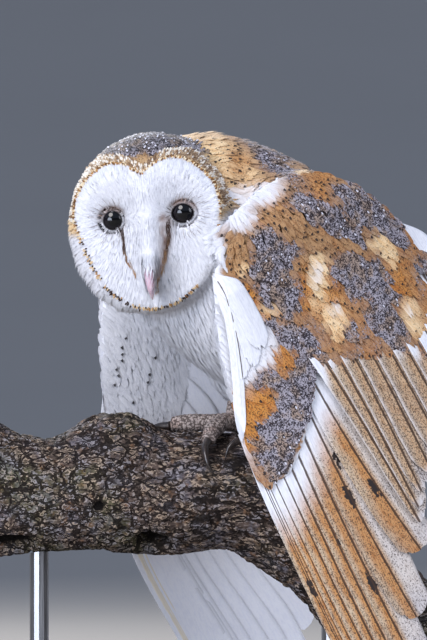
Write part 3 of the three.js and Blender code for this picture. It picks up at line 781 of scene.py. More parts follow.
def foot_finish():
    """Pale grey-pink scales with dark gaps between them, and dirt."""
    g = Graph("foot_skin", {"Roughness": 0.6, "Specular IOR Level": 0.3})
    gaps = g.step(g.cells(1.2, 5), 0.52, 0.68)
    tint = g.mix(g.step(g.noise(4, 3, 6), 0.35, 0.65), "b8aaa3", "9d908a")
    tint = g.mix(g.step(g.noise(9, 2, 7), 0.52, 0.7) * 0.4, tint, "b58e78")
    tint = g.mix(gaps * 0.85, tint, "463a35")
    dirt = g.step(g.noise(1.5, 4, 8), 0.58, 0.66) * 0.5
    return g.finish(g.mix(dirt, tint, "3a302b"), 1 - gaps, 0.3)


def claw_finish():
    g = Graph("claw_horn", {"Roughness": 0.3, "Coat Weight": 0.35, "Coat Roughness": 0.15})
    grain = g.noise(0.9, 3, 8)
    return g.finish(g.mix(g.step(grain, 0.35, 0.7), "1d1816", "40352f"), grain, 0.04)


# Bark's colours over its base: the size of the noise, its seed, where it starts and ends, how much of
# the colour shows, and the colour.
BARK_STAINS = [
    (5, 6, 0.54, 0.66, 0.7, "7a5b42"),
    (9, 7, 0.5, 0.62, 0.7, "66636b"),
    (34, 8, 0.5, 0.66, 0.5, "555a38"),
]


def bark_finish():
    """Weathered bark: plates drawn out along the branch, cracks with painted shade and painted highlights on
    their lips, painted shade and highlight on the fibres, and a green film.
    """
    g = Graph("bark", {"Roughness": 0.9, "Specular IOR Level": 0.15})
    depth, run, end = g.split(g.attribute("relief"))
    # The plates lie every way on the left, and are combed along the branch on the right.
    x = g.split(g.place)[0]
    straight = g.step(x + g.noise(60, 2, 1) * 0.05, -0.02, 0.05)
    warped = g.warped(2.2, 3.2)
    loose, combed = (g.scaled(warped, [share, 1, 1]) for share in (0.42, 0.18))
    gaps = []
    for size, seed in ((2.8, 2), (7.5, 3)):
        choices = [g.cells(size, seed, "DISTANCE_TO_EDGE", at) for at in (loose, combed)]
        gaps.append(g.node("Mix", {0: straight, 2: choices[0], 3: choices[1]}))
    fine, broad = gaps
    broken = g.step(g.noise(4, 2, 4), 0.4, 0.5)
    cracks = g.step(fine, 0.12, 0.05) * broken * 0.9
    cracks = g.math("MAXIMUM", cracks, g.step(broad, 0.045, 0.02))
    lips = g.step(fine, 0.1, 0.14) * g.step(fine, 0.24, 0.18) * broken
    fibre = g.noise(0.9, 3, 12, g.scaled(g.place, [0.4, 1, 1]))
    tint = g.mix(g.step(g.noise(7, 3, 5), 0.35, 0.65), "483c36", "5f5149")
    for size, seed, low, high, share, stain in BARK_STAINS:
        tint = g.mix(g.step(g.noise(size, 3, seed), low, high) * share, tint, stain)
    # Painted shade in the fibres' grooves, the low places of their bump.
    tint = g.mix(g.step(fibre, 0.5, 0.38) * 0.6, tint, "241c19")
    pale = g.mix(g.step(g.noise(8, 2, 10), 0.4, 0.6), "b39f8a", "9a9598")
    # Painted highlight on the fibres' ridges.
    tint = g.mix(g.step(fibre, 0.54, 0.66) * 0.4, tint, pale)
    # Painted highlight on the lips beside the fine cracks.
    tint = g.mix(lips * 0.72, tint, pale)
    # Painted shade: the cracks are painted nearly black.
    tint = g.mix(cracks * 0.93, tint, "16110f")
    # Painted shade: the rotted hollows, where the relief's depth falls below a half, are painted black.
    tint = g.mix(g.step(depth, 0.5, 0.1), tint, "0f0c0a")
    height = fibre * 0.4 + (1 - cracks) * 0.6
    # The sawn ends show pale wood with rings.
    rings = g.math("SINE", (run + g.noise(16, 3, 9) * 3) * 2.6)
    wood = g.mix(g.step(rings, -0.4, 0.8), "b08d62", "8a6840")
    wood = g.mix(g.step(run, 27.5, 29), wood, "4a3526")
    return g.finish(g.mix(end, tint, wood), height * (1 - end), 0.8)


def paint_finish():
    g = Graph("stand_paint", {"Roughness": 0.4, "Coat Weight": 0.25, "Coat Roughness": 0.25})
    grain = g.noise(1.5, 5, 1, g.scaled(g.place, [0.05, 1, 1]))
    tint = g.mix(g.step(grain, 0.35, 0.7), "2c1e17", "4a3427")
    return g.finish(tint, grain, 0.06, g.noise(30, 3, 2) * 0.16 + 0.34)


def steel_finish():
    g = Graph("rod_steel", {"Metallic": 1.0, "Roughness": 0.3})
    brushed = g.noise(0.5, 3, 1, g.scaled(g.place, [1, 1, 0.02]))
    tint = g.mix(g.step(brushed, 0.3, 0.7), "7f8082", "a3a4a6")
    return g.finish(tint, brushed, 0.01, brushed * 0.2 + 0.24)


def floor_finish():
    g = Graph("floor", {"Roughness": 0.8, "Specular IOR Level": 0.2})
    return g.finish(g.mix(g.noise(400, 2, 1), "948f89", "99948e"))


# ---- the scene ----
def area_light(name, place, target, size, power, tint):
    lamp = bpy.data.lights.new(name, "AREA")
    lamp.shape = "DISK"
    lamp.size = size
    lamp.energy = power
    lamp.color = colour(tint)
    light = bpy.data.objects.new(name, lamp)
    light.location = place
    light.rotation_euler = (Vector(target) - Vector(place)).to_track_quat("-Z", "Y").to_euler()
    bpy.context.scene.collection.objects.link(light)


CAMERA = {"place": (0, -3.0, 0.305), "lens": 318.4, "sensor": 36}
# Each light's name, place, what it looks at, size, power and tint.
LIGHTS = [
    ("key", (-1.3, -2.4, 1.9), (0, 0, 0.3), 1.5, 64, "fbf7f8"),
    ("fill", (2.2, -1.8, 1.0), (0, 0, 0.3), 1.8, 38, "e8ebf8"),
    ("back", (-0.9, 2.2, 1.8), (0, 0, 0.3), 1.5, 84, "ffffff"),
    ("low", (-1.5, -2.3, 0.2), (0, 0, 0.27), 1.4, 56, "dde6fb"),
]
# The floor's radius and height.
FLOOR_ROWS = [
    [1, 0], [1200, 0], [2400, 0], [3600, 0], [5000, 60], [7000, 300], [9500, 900], [12000, 2000],
]


def make_stage():
    """The photograph's camera, a pale floor and soft light."""
    scene = bpy.context.scene
    lens = bpy.data.cameras.new("camera")
    lens.sensor_fit = "VERTICAL"
    lens.sensor_height = CAMERA["sensor"]
    lens.lens = CAMERA["lens"]
    camera = bpy.data.objects.new("camera", lens)
    camera.location = CAMERA["place"]
    camera.rotation_euler = (math.pi / 2, 0, 0)
    scene.collection.objects.link(camera)
    scene.camera = camera
    scene.view_settings.view_transform = "Standard"
    # The floor is a wide shallow bowl, flat in the middle, so that it has no horizon in the picture.
    rows, sides = 40, 90
    table = smooth_rows(FLOOR_ROWS, rows)
    angle = round_angles(sides)
    ring = np.stack([np.cos(angle), np.sin(angle), 0 * angle], -1)
    bowl = ring * table[:, :1, None] + table[:, 1:, None] * UP
    floor = mesh_piece("floor", bowl, grid_faces(rows, sides, closed=True), floor_finish())
    world = bpy.data.worlds.new("studio")
    world.use_nodes = True
    background = world.node_tree.nodes["Background"].inputs
    background["Color"].default_value = (*colour("98a6c0"), 1)
    background["Strength"].default_value = 1.15
    scene.world = world
    for light in LIGHTS:
        area_light(*light)


# ---- vanes: the one way every small feather is made ----
# How wide the patch of the map OFBake is that each small feather gets at its root's place.
TUFT_PATCH = 0.003
# How far a small feather's shading turns towards the form under it.
SOFTNESS = 0.7
# How unevenly small feathers head, as a share of their length.
SWAY = 0.12


def vanes(name, centre, normal, width, root_uv, tint, marks, material, shape):
    """One mesh of feathers. centre, normal, tint and marks are [feather, station, 3] along each shaft.

    shape holds columns, rows, tip (how far the outer barbs stop short of the tip), ragged (how unevenly
    they end), camber (droop of the edges as a share of the half-width), base (the root's width share) and
    taper (how much narrower the last part is).
    """
    count, stations = centre.shape[:2]
    columns, rows = shape["columns"], shape["rows"]
    side = unit(np.cross(unit(np.gradient(centre, axis=1)), normal))
    across = np.linspace(-1, 1, columns)
    along = np.linspace(0, 1, rows)
    # Each column of points ends at its own place, so a tip is rounded and a little frayed.
    jag = shape["ragged"] * rng.uniform(0, 1, (count, 1, columns))
    jag = jag * np.where(np.arange(columns) % 2, 1, 0.25)
    stop = 1 - shape["tip"] * across**2 - jag
    v = np.broadcast_to(along[None, :, None] * stop, (count, rows, columns))
    place = v * (stations - 1)
    low = np.minimum(place.astype(int), stations - 2)
    share = (place - low)[..., None]
    pick = np.arange(count)[:, None, None]

    def along_shaft(values):
        return values[pick, low] * (1 - share) + values[pick, low + 1] * share

    spread = shape["base"] + (1 - shape["base"]) * np.sin(np.pi / 2 * np.clip(along / 0.55, 0, 1))
    spread = spread * (1 - shape["taper"] * smooth(0.6, 1, along))
    half = width[:, None, None] * spread[None, :, None]
    lift = -shape["camber"] * half * across**2
    points = along_shaft(centre) + along_shaft(side) * (half * across)[..., None]
    points = points + along_shaft(normal) * lift[..., None]
    length = np.linalg.norm(np.diff(centre, axis=1), axis=-1).sum(1)[:, None, None]
    span = np.stack(np.broadcast_arrays(half * across, length * (1 - v), v), -1)
    attributes = {"tint": along_shaft(tint), "marks": along_shaft(marks), "span": span}
    patch = np.stack(np.broadcast_arrays(across[None, None] * 0.5, v - 0.5), -1) * TUFT_PATCH
    faces = many_faces(grid_faces(rows, columns), count, rows * columns)
    uv = root_uv[:, None, None] + patch
    piece = mesh_piece(name, points, faces, material, {"OFBake": uv}, attributes)
    soften(piece.data, along_shaft(normal))
    return piece


def soften(mesh, around):
    """Turns the shading of feathers towards the form that they lie on, as light through barbs does."""
    normals = lerp(read(mesh.vertices, "normal", 3), around.reshape(-1, 3), SOFTNESS)
    mesh.normals_split_custom_set_from_vertices(unit(normals).tolist())


# ---- the skin ----
WING_PARTS = [f"wing_{side}_{part}" for side in ("left", "right") for part in ("arm", "hand")]
LEG_PARTS = [f"{part}_{side}" for side in ("left", "right") for part in ("thigh", "shank")]
FLESH = ["head", "neck", "trunk", "scapulars_left", "scapulars_right", *WING_PARTS, *LEG_PARTS]


def flesh_surface():
    """All the flesh nodes' triangles in one list, and the number of the node each one belongs to."""
    meshes = [mesh_arrays(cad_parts[name].data) for name in FLESH]
    owner = np.concatenate([np.full(len(faces), index) for index, (_, _, faces) in enumerate(meshes)])
    return *stacked([(points, faces) for points, _, faces in meshes]), owner


def coat_depth(points, owner):
    """How far the skin lies inside the outline: little on the face and the wings, more on the body."""
    depth = np.full(len(points), 2.4)
    local = head_place(points)
    on_head = owner == FLESH.index("head")
    face = (local[:, 1] < -6) & (disc_share(local) < 1.02)
    depth[on_head] = np.where(face, 0.8, 1.7)[on_head]
    for name in WING_PARTS:
        depth[owner == FLESH.index(name)] = 0.9
    for name in LEG_PARTS:
        depth[owner == FLESH.index(name)] = 1.4
    return depth


SKIN_GRAIN = 0.0017


def make_skin():
    """One skin a little inside the flesh solids, and the number of the solid that each point came from."""
    points, faces, owner = flesh_surface()
    tree = BVHTree.FromPolygons(points.tolist(), faces.tolist())
    rough = mesh_piece("rough", points, faces, None)
    for kind, settings in (
        ("REMESH", {"mode": "VOXEL", "voxel_size": SKIN_GRAIN}),
        ("SMOOTH", {"iterations": 6, "factor": 0.5}),
    ):
        modifier = rough.modifiers.new(kind, kind)
        for key, value in settings.items():
            setattr(modifier, key, value)
    mesh = bpy.data.meshes.new_from_object(rough.evaluated_get(bpy.context.evaluated_depsgraph_get()))
    bpy.data.objects.remove(rough)
    place, normal, _ = mesh_arrays(mesh)
    labels = np.array([owner[tree.find_nearest(p)[2]] for p in place])
    place = place - normal * coat_depth(place, labels)[:, None]
    mesh.vertices.foreach_set("co", (place * MM).ravel())
    mesh.update()
    mesh.shade_smooth()
    skin = bpy.data.objects.new("skin", mesh)
    bpy.context.scene.collection.objects.link(skin)
    return skin, labels


def wing_place(side, points):
    """The across and along of points on a wing's pads, and 1 for those on its underside."""
    across, along = (v.ravel() for v in np.meshgrid(np.arange(-34, 102, 2.0), np.arange(-28, 118, 2.0)))
    sheet, normal = wing_frame(side, across, along, 0)
    tree = point_tree(sheet)
    found = np.array([tree.find(point)[1] for point in points])
    under = ((points - sheet[found]) * normal[found]).sum(1) < 0
    return across[found], along[found], under.astype(float)


def mark_skin(skin, labels):
    """Gives the skin the same markings as the feathers over it."""
    place, _, _ = mesh_arrays(skin.data)
    tint, marks = body_marks(place)
    on_head = labels == FLESH.index("head")
    tint[on_head], marks[on_head] = head_marks(place[on_head])
    for side, name in ((-1, "left"), (1, "right")):
        chosen = np.isin(labels, [FLESH.index(part) for part in WING_PARTS if name in part])
        tint[chosen], marks[chosen] = wing_marks(side, *wing_place(side, place[chosen]))
    set_attribute(skin.data, "tint", tint)
    set_attribute(skin.data, "marks", marks)


def unwrap(piece):
    """Unwraps a piece's own shape into the map OFBake."""
    piece.data.uv_layers.new(name="OFBake")
    bpy.context.view_layer.objects.active = piece
    piece.select_set(True)
    bpy.ops.object.mode_set(mode="EDIT")
    bpy.ops.mesh.select_all(action="SELECT")
    bpy.ops.uv.smart_project(angle_limit=1.15, island_margin=0.002)
    bpy.ops.object.mode_set(mode="OBJECT")
    piece.select_set(False)


class Ground:
    """The skin as feathers need it: each face's middle, normal, label and place on the unwrap."""

    def __init__(self, skin, labels):
        mesh = skin.data
        self.points, normals, self.faces = mesh_arrays(mesh)
        corners = self.points[self.faces]
        self.area = np.linalg.norm(triangle_cross(corners), axis=1) / 2
        self.middle = corners.mean(1)
        self.label = labels[self.faces[:, 0]]
        for _ in range(12):
            normals = self.relaxed(normals)
        self.normal = unit(normals[self.faces].sum(1))
        self.tree = BVHTree.FromPolygons(self.points.tolist(), self.faces.tolist())
        uv = read(mesh.uv_layers["OFBake"].data, "uv", 2)
        self.uv = uv[read(mesh.loop_triangles, "loops", 3, int)].mean(1)

    def relaxed(self, values):
        """Each vertex's value averaged with those of the faces round it."""
        total = np.zeros_like(values)
        mean = values[self.faces].mean(1)
        for corner in range(3):
            np.add.at(total, self.faces[:, corner], mean)
        return unit(total)

    def within(self, *names):
        return np.isin(self.label, [FLESH.index(name) for name in names])

    def scatter(self, chosen, spacing):
        """Points and faces of roots scattered on the chosen faces, at least the spacing apart."""
        # Four times as many as have room, as most fall too near to another one.
        wanted = np.where(chosen, self.area / spacing**2, 0) * 4
        face = rng.choice(len(wanted), int(wanted.sum()), p=wanted / wanted.sum())
        a, b = np.sqrt(rng.uniform(size=len(face))), rng.uniform(size=len(face))
        shares = (1 - a, a * (1 - b), a * b)
        corners = self.points[self.faces[face]]
        point = sum(corners[:, i] * share[:, None] for i, share in enumerate(shares))
        kept = spread(point, np.full(len(point), spacing))
        return point[kept], face[kept]

    def cover(self, meshes):
        """Adds forms that feathers lie over but don't grow from: the lids and the bill."""
        parts = [(self.points, self.faces)]
        for mesh in meshes:
            points, _, faces = mesh_arrays(mesh)
            self.normal = np.vstack([self.normal, unit(triangle_cross(points[faces]))])
            parts.append((points, faces))
        points, faces = stacked(parts)
        self.tree = BVHTree.FromPolygons(points.tolist(), faces.tolist())

    def below(self, point, normal, over):
        """The surface's point and face under each point: the nearest, or seen from `over` above it."""
        if not over:
            return [self.tree.find_nearest(p) for p in point]
        start = point + normal * over
        found = [self.tree.ray_cast(p, -n, 3 * over) for p, n in zip(start, normal)]
        return [f if f[0] is not None else self.tree.find_nearest(p) for f, p in zip(found, point)]

    def lay(self, point, face, flow, length, stations, over):
        """Shafts laid along the flow over the skin, and the skin's normals under them."""
        count = len(point)
        sway = rng.normal(0, SWAY, (count, 1))
        normal = self.normal[face]
        centres, normals = [point], [normal]
        for _ in range(stations - 1):
            heading = flow(point)
            heading = unit(heading - normal * (heading * normal).sum(1, keepdims=True))
            heading = unit(heading + sway * np.cross(normal, heading))
            ahead = point + heading * (length / (stations - 1))[:, None]
            found = self.below(ahead, normal, over)
            point = np.array([f[0] for f in found])
            normal = self.normal[[f[2] for f in found]]
            centres.append(point)
            normals.append(normal)
        return np.stack(centres, 1), np.stack(normals, 1)


def spread(points, spacing):
    """Which of the points stay when those too near to an earlier one are dropped."""
    tree = point_tree(points)
    alive = np.ones(len(points), bool)
    for i, point in enumerate(points):
        if alive[i]:
            for _, j, _ in tree.find_range(point, spacing[i]):
                alive[j] = j == i
    return alive


def lifted(centre, normal, low, high, count):
    """Raises shafts from `low` at their roots to `high` at their tips, each one a little differently."""
    share = np.linspace(0, 1, centre.shape[1])
    height = low + (high * rng.uniform(0.75, 1.15, (count, 1)) - low) * share
    return centre + normal * height[..., None]


# ---- which way the coat lies ----
def face_flow(points):
    """Away from the eyes on every side, and down beside the bill."""
    local = head_place(points)
    flow = np.zeros_like(local)
    for side in (-1, 1):
        away = local - np.array([side * EYE["side"], 0, EYE["height"]])
        away[:, 1] = 0
        flow += away / ((away**2).sum(1, keepdims=True) + 15)
    flow[:, 2] -= 0.05 * bump(local[:, 0], 8) * (1 - smooth(-6, 14, local[:, 2]))
    return flow @ HEAD_TURN.T


def fanned(across, back, up, down):
    """A flow over the head that fans out from its middle as it runs backwards."""

    def flow(points):
        x, _, z = head_place(points).T / 40
        return np.stack([across * x, np.full(len(x), back), up * z - down], 1) @ HEAD_TURN.T

    return flow


# Out over the disc's rim and backwards, and further out on the cheeks, whose fluff breaks the outline.
head_flow = fanned(0.6, 1.0, 0.45, 0.3)
cheek_flow = fanned(1.3, 0.6, 0.7, 0.55)


def body_flow(points):
    """Down the breast, then back along the body to the tail."""
    back, _, _ = body_place(points)
    slope = np.interp(back, [-10, 15, 60, 100, 140, 165], [-2.4, -1.1, -0.3, -0.5, -1.0, -1.6])
    return -FORWARD + slope[:, None] * UP


def leg_flow(points):
    """Down, and a little forwards."""
    return np.broadcast_to(0.25 * FORWARD - UP, points.shape)


def bristle_flow(points):
    """Down the ridge of the face, forwards and together over the bill's base."""
    x = head_place(points)[:, 0]
    return np.stack([-0.1 * x, np.full(len(x), -0.35), -np.ones(len(x))], 1) @ HEAD_TURN.T


def ridge_flow(points):
    """Down along the dark lines, one on each side of the ridge."""
    x, _, z = head_place(points).T
    flow = np.zeros_like(points)
    flow[:, 2] = -1
    for side, line in RIDGE_LINES.items():
        slope = np.interp(z - 1.5, *line) - np.interp(z, *line)
        flow[:, 0] = np.where(x * side > 0, slope / 1.5, flow[:, 0])
    return flow @ HEAD_TURN.T


# ---- the coat over the skin ----
# Small feathers: columns and rows of points, and the rest of what `vanes` reads.
HAIR = {"columns": 3, "rows": 6, "tip": 0.25, "ragged": 0.2, "camber": 0.25, "base": 0.6, "taper": 0.8}
SMALL = {"columns": 7, "rows": 5, "tip": 0.3, "ragged": 0.22, "camber": 0.22, "base": 0.45, "taper": 0.2}
BROAD = {"columns": 9, "rows": 6, "tip": 0.3, "ragged": 0.18, "camber": 0.2, "base": 0.4, "taper": 0.1}
LONG = {"columns": 9, "rows": 7, "tip": 0.22, "ragged": 0.08, "camber": 0.16, "base": 0.5, "taper": 0.0}


def coat(
    ground, material, name, chosen, spacing, flow, length, width, marks, lifts,
    stations=5, shape=HAIR, droplets=0, over=0,
):
    """Feathers of one kind on the chosen faces. The length may be a number or a value for each face.

    lifts are the heights of the root and the tip over the skin, and droplets is the share with a dark tip.
    """
    point, face = ground.scatter(chosen, spacing)
    length = np.broadcast_to(length, chosen.shape)[face] * rng.uniform(0.85, 1.12, len(face))
    width = width * rng.uniform(0.85, 1.15, len(face))
    centre, normal = ground.lay(point, face, flow, length, stations, over)
    middle = centre[:, stations // 2, None]
    tint, mark = marks(lerp(centre, middle, 0.4))
    tint = tint * rng.uniform(0.92, 1.04, (len(face), 1, 1))
    mark = np.array(mark)
    mark[..., 1] *= rng.uniform(size=(len(face), 1)) < droplets
    centre = lifted(centre, normal, *lifts, len(face))
    uv = ground.uv[face]
    piece = vanes(f"coat_{name}", centre, normal, width / 2, uv, tint, mark, material, shape)
    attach(piece, "root")


def coat_head(ground, lay):
    """The face's fine feathers, its dark lines, the ruff round it, and the crown and cheeks."""
    local = head_place(ground.middle)
    x, y, z = local.T
    rho = disc_share(local)
    head = ground.within("head")
    front = head & (y < 0)
    lid_width = np.where(x > 0, LID_WIDTHS["left"], LID_WIDTHS["right"])
    eye_gap = np.hypot((np.abs(x) - EYE["side"]) / lid_width, z - EYE["height"])
    beside_bill = np.hypot(x / 3.0, np.maximum(np.abs(z + 32) - 5, 0) / 3.0)
    disc = front & (rho < 0.985) & (y < -8) & (eye_gap > 7.5) & (beside_bill > 1)
    length = np.interp(eye_gap, [6, 12, 24], [4.5, 8, 10]) * np.where(rho > 0.85, 0.75, 1)
    lay("face", disc, 0.78, face_flow, length, 0.85, head_marks, (-0.2, 1.0))
    lids = front & (eye_gap > 5.3) & (eye_gap < 9)
    lay("lids", lids, 0.62, face_flow, 3.6, 0.75, head_marks, (0.0, 1.0), over=4)
    lores = front & (np.abs(x) < 7.5) & (z < -6) & (z > -27) & (beside_bill > 1)
    length = np.clip(1.25 * (z + 27.5) + 7.5, 8, 16)
    lay("bristles", lores, 0.62, bristle_flow, length, 0.75, head_marks, (0.0, 1.3), 9, over=5)
    lashes = front & (eye_gap > 5.2) & (eye_gap < 6.6)
    lay("lashes", lashes, 0.9, face_flow, 4.4, 0.32, even(colour("5f524c")), (0.5, 2.0), 4, over=4)
    rays = disc & (eye_gap < 11) & (z < 14) & (np.abs(x) > 13)
    lay("rays", rays, 2.0, face_flow, 5.0, 0.28, even(colour("b4adac")), (0.7, 1.5), over=4)
    # The ridge line at x < 0, named right, is partly painted shadow along the ridge's edge.
    for side, (heights, offsets) in RIDGE_LINES.items():
        beside = x - np.interp(z, heights, offsets)
        name, half_width, above_end = ("left", 0.9, 2) if side > 0 else ("right", 0.5, 7)
        near = np.abs(beside) < np.interp(z, [-20, -4], [0.35, half_width])
        line = front & near & (x * side > 0) & (z > heights[0] + above_end) & (z < 2)
        lay(f"ridge_{name}", line, 0.62, ridge_flow, 4.5, 0.42, ridge_marks, (0.5, 1.4), over=5)
    rim = front & (rho > 0.972) & (rho < 0.994) & (y < -9)
    thin = (x > 22) & (z < 8) & (noise(ground.middle, 3, 25) > -0.25)
    lay("ruff", rim & ~thin, 0.66, head_flow, 1.1, 0.85, ruff_marks, (0.4, 1.5), 4, SMALL)
    brow = front & (rho > 1.0) & (rho < 1.1) & (z > 6) & (y < -6)
    lay("brow", brow, 0.9, head_flow, 2.6, 1.2, brow_marks, (0.0, 1.5), 4, SMALL)
    outside = head & ~disc & (rho > 1.0)
    crown = outside & (z > 3) & ~brow
    lay("crown", crown, 1.75, head_flow, 9.0, 3.4, head_marks, (-0.3, 1.6), 4, SMALL, 0.5)
    length = np.where((x < 0) & (z < 0), 13.0, 8.0)
    lay("cheeks", outside & (z < 9), 1.15, cheek_flow, length, 1.3, head_marks, (-0.2, 2.6))


def coat_body(ground, lay):
    """The mantle, the breast, the belly, the shoulders and the legs."""
    back, _, height = body_place(ground.middle)
    body = ground.within("neck", "trunk")
    line = np.interp(back, *FLANK_LINE)
    above, below = body & (height > line - 8), body & (height <= line)
    lay("mantle", above, 2.7, body_flow, 16.0, 6.5, body_marks, (-0.3, 2.3), 5, BROAD, 0.5)
    lay("breast", below & (back < 60), 1.75, body_flow, 13.0, 2.2, body_marks, (-0.2, 1.8))
    lay("belly", below & (back >= 60), 2.3, body_flow, 16.0, 3.0, body_marks, (-0.2, 2.0))
    shoulders = ground.within("scapulars_left", "scapulars_right")
    lay("shoulders", shoulders, 3.4, body_flow, 22.0, 10.0, body_marks, (-0.3, 2.4), 6, BROAD, 0.6)
    lay("legs", ground.within(*LEG_PARTS), 1.5, leg_flow, 9.0, 1.5, even(WHITE), (-0.2, 1.4), 4)


# ---- eyes and bill ----
# How much wider than a circle each eye's lids are, and how much lower.
LID_WIDTHS = {"left": 1.1, "right": 0.92}
LID_HEIGHT = 0.96
# The lids' section: distance from the eye's axis and how far forward of its centre.
LID_ROWS = [[4.9, 7.0], [4.85, 7.25], [5.05, 7.6], [5.5, 7.4], [6.4, 6.3], [8.2, 3.6]]


def make_eyeball(name, centre, material):
    rows, sides = 40, 56
    angle = round_angles(sides)
    height = np.linspace(0, np.pi, rows)[:, None]
    x, z = np.sin(height) * np.cos(angle), np.sin(height) * np.sin(angle)
    ball = np.stack(np.broadcast_arrays(x, -np.cos(height), z), -1)
    points = head_point(centre + EYE["radius"] * ball)
    piece = mesh_piece(f"eyeball_{name}", points, grid_faces(rows, sides, True), material)
    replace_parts(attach(piece, "root"), f"eye_{name}")


def make_lids(name, side, centre, material):
    """A thin rounded rim close on the ball, which widens into the skin of the face."""
    rows, sides = 14, 56
    angle = round_angles(sides)
    out, forward = smooth_rows(LID_ROWS, rows).T[..., None]
    wide = LID_WIDTHS[name] + 0.03 * np.cos(2 * angle)
    crease = 1 + 0.012 * np.sin(17 * angle + side) + 0.01 * np.sin(29 * angle)
    x = out * np.cos(angle) * wide * crease
    z = out * np.sin(angle) * LID_HEIGHT * crease
    y = -forward + 0.25 * np.sin(11 * angle) * smooth(6, 8, out)
    points = head_point(centre + np.stack([x, y, z], -1))
    # Nearly black by the ball, then white, and brownish above the eye and at its outer corner.
    corner = smooth(0.7, 1, np.cos(angle) * side) * smooth(-0.2, 0.1, np.sin(angle))
    above = smooth(0.1, 0.8, np.sin(angle)) + 0.5 * corner
    fold = lerp(WHITE, colour("7d6459"), 0.8 * np.clip(above, 0, 1)[:, None])
    tint = lerp(colour("17100f"), fold, smooth(5.15, 5.9, out)[..., None])
    faces = grid_faces(rows, sides, True)[:, ::-1]
    lids = mesh_piece(f"lids_{name}", points, faces, material, None, {"tint": tint})
    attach(lids, "root")
    return lids


def make_eyes():
    """Both eyes, and the lids round them, which are returned."""
    ball_finish, rim_finish = eye_finish(), lid_finish()
    lids = []
    for side, name in ((-1, "right"), (1, "left")):
        centre = np.array([side * EYE["side"], EYE["back"], EYE["height"]])
        make_eyeball(name, centre, ball_finish)
        lids.append(make_lids(name, side, centre, rim_finish))
    return lids


# The bill's path in the head's own frame, its radius across and the other one.
BILL_ROWS = [
    [0, -24, -13, 4.4, 4.6], [0, -30.5, -17, 4.1, 4.6], [0, -36, -21.5, 3.6, 4.1],
    [0, -39.2, -26, 2.9, 3.4], [0, -39.9, -30.5, 2.1, 2.5], [0, -38.9, -34, 1.25, 1.5],
    [0, -37.4, -36.8, 0.35, 0.45],
]


def make_bill():
    """A hooked bill, which is returned for the face's feathers to lie over."""
    rows, sides = 40, 32
    table = smooth_rows(BILL_ROWS, rows)
    points = tube(table[:, :3], table[:, 3:], sides, np.array([1.0, 0, 0]))
    angle = round_angles(sides)
    share = np.linspace(0, 1, rows)[:, None]
    # The ridge along the top is narrower, and a line marks the gape on each side.
    gape = bump(np.abs(np.cos(angle)) - 0.9, 0.12) * (np.sin(angle) > 0)
    gape = gape * (1 - smooth(0.75, 0.95, share))
    middle = points.mean(1, keepdims=True)
    points = middle + (points - middle) * (1 - 0.1 * gape)[..., None]
    shape, faces = capped(points)
    bill = mesh_piece("bill_hooked", head_point(shape), faces, bill_finish())
    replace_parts(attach(bill, "root"), "bill")
    return bill


# ---- feet and branch ----
# The branch's path, its height from PERCH_HEIGHT, and its radii along Y and upwards.
BRANCH_ROWS = [
    [-152, -8, 2, 32, 34], [-118, -10, 0, 33, 34], [-84, -12, -2.5, 30, 30], [-54, -12, 2, 34, 35],
    [-24, -12, -1, 33, 33], [8, -12, -1, 32, 31], [34, -12, -9, 31, 31], [60, -11, -30, 30, 30],
    [84, -10, -58, 29, 29], [106, -10, -86, 28, 28],
]
# Each foot's place along and round the branch, the toes whose claws dig in, and each toe and its claw as
# steps along and degrees round the branch from there.
FEET = {
    "left": {
        "x": 46, "round": 24, "dug_in": (),
        "front": ([[0, 0], [-10, 5], [-19, 10], [-26, 15]], [[-33, 20], [-38, 27], [-40, 35]]),
        "inner": ([[0, 0], [-2, 16], [-4, 32], [-4, 46]], [[-3, 57], [0, 67], [4, 75]]),
        "outer": ([[0, 0], [7, 14], [12, 28], [14, 40]], [[15, 50], [14, 60], [12, 69]]),
        "hind": ([[0, 0], [8, -14], [13, -28], [15, -40]], [[16, -50], [16, -60], [14, -70]]),
    },
    "right": {
        "x": 13, "round": -5, "dug_in": ("front", "hind"),
        "front": ([[0, 0], [-13, -2], [-26, -3], [-36, -2]], [[-43, -7], [-47, -16], [-48, -26]]),
        "inner": ([[0, 0], [-7, 14], [-13, 30], [-16, 46]], [[-17.5, 58], [-16, 70], [-12, 80]]),
        "outer": ([[0, 0], [2, -20], [0, -38], [-3, -52]], [[-4, -63], [-3, -74], [0, -84]]),
        "hind": ([[0, 0], [8, -7], [15, -11], [20, -15]], [[25, -19], [28, -27], [29, -36]]),
    },
}
TOES = ("front", "inner", "outer", "hind")
# Heights above the bark along a toe and a claw, their radii, and the heights of a claw that digs in.
TOE_HEIGHTS, TOE_RADII = [4.2, 3.9, 3.7, 3], [5.4, 4.3, 4.5, 3.6]
CLAW_HEIGHTS, CLAW_RADII = [2.8, 5, 4.4, 1.4], [2.6, 2.3, 1.5, 0.35]
DUG_IN_HEIGHTS = [1.5, 1, 0, -1]


def perch_point(x, turn, above):
    """A place above the bark, x along the branch and `turn` degrees round it from its top towards -Y."""
    sag = np.where(x > 8, -0.011 * (x - 8) ** 2, 0)
    radius = PERCH_RADIUS + 1.5 + above
    angle = np.radians(turn)
    height = PERCH_HEIGHT - 1 + sag + radius * np.cos(angle)
    return np.stack([x, PERCH_Y - radius * np.sin(angle), height], -1)


def perch_path(foot, steps, heights, radii, count):
    """Points above the bark through a toe's steps, the directions away from the bark, and the radii."""
    table = [[*step, height, radius] for step, height, radius in zip(steps, heights, radii)]
    rows = smooth_rows(table, count)
    x, turn = foot["x"] + rows[:, 0], foot["round"] + rows[:, 1]
    path = perch_point(x, turn, rows[:, 2])
    return path, unit(perch_point(x, turn, rows[:, 2] + 5) - path), rows[:, 3]


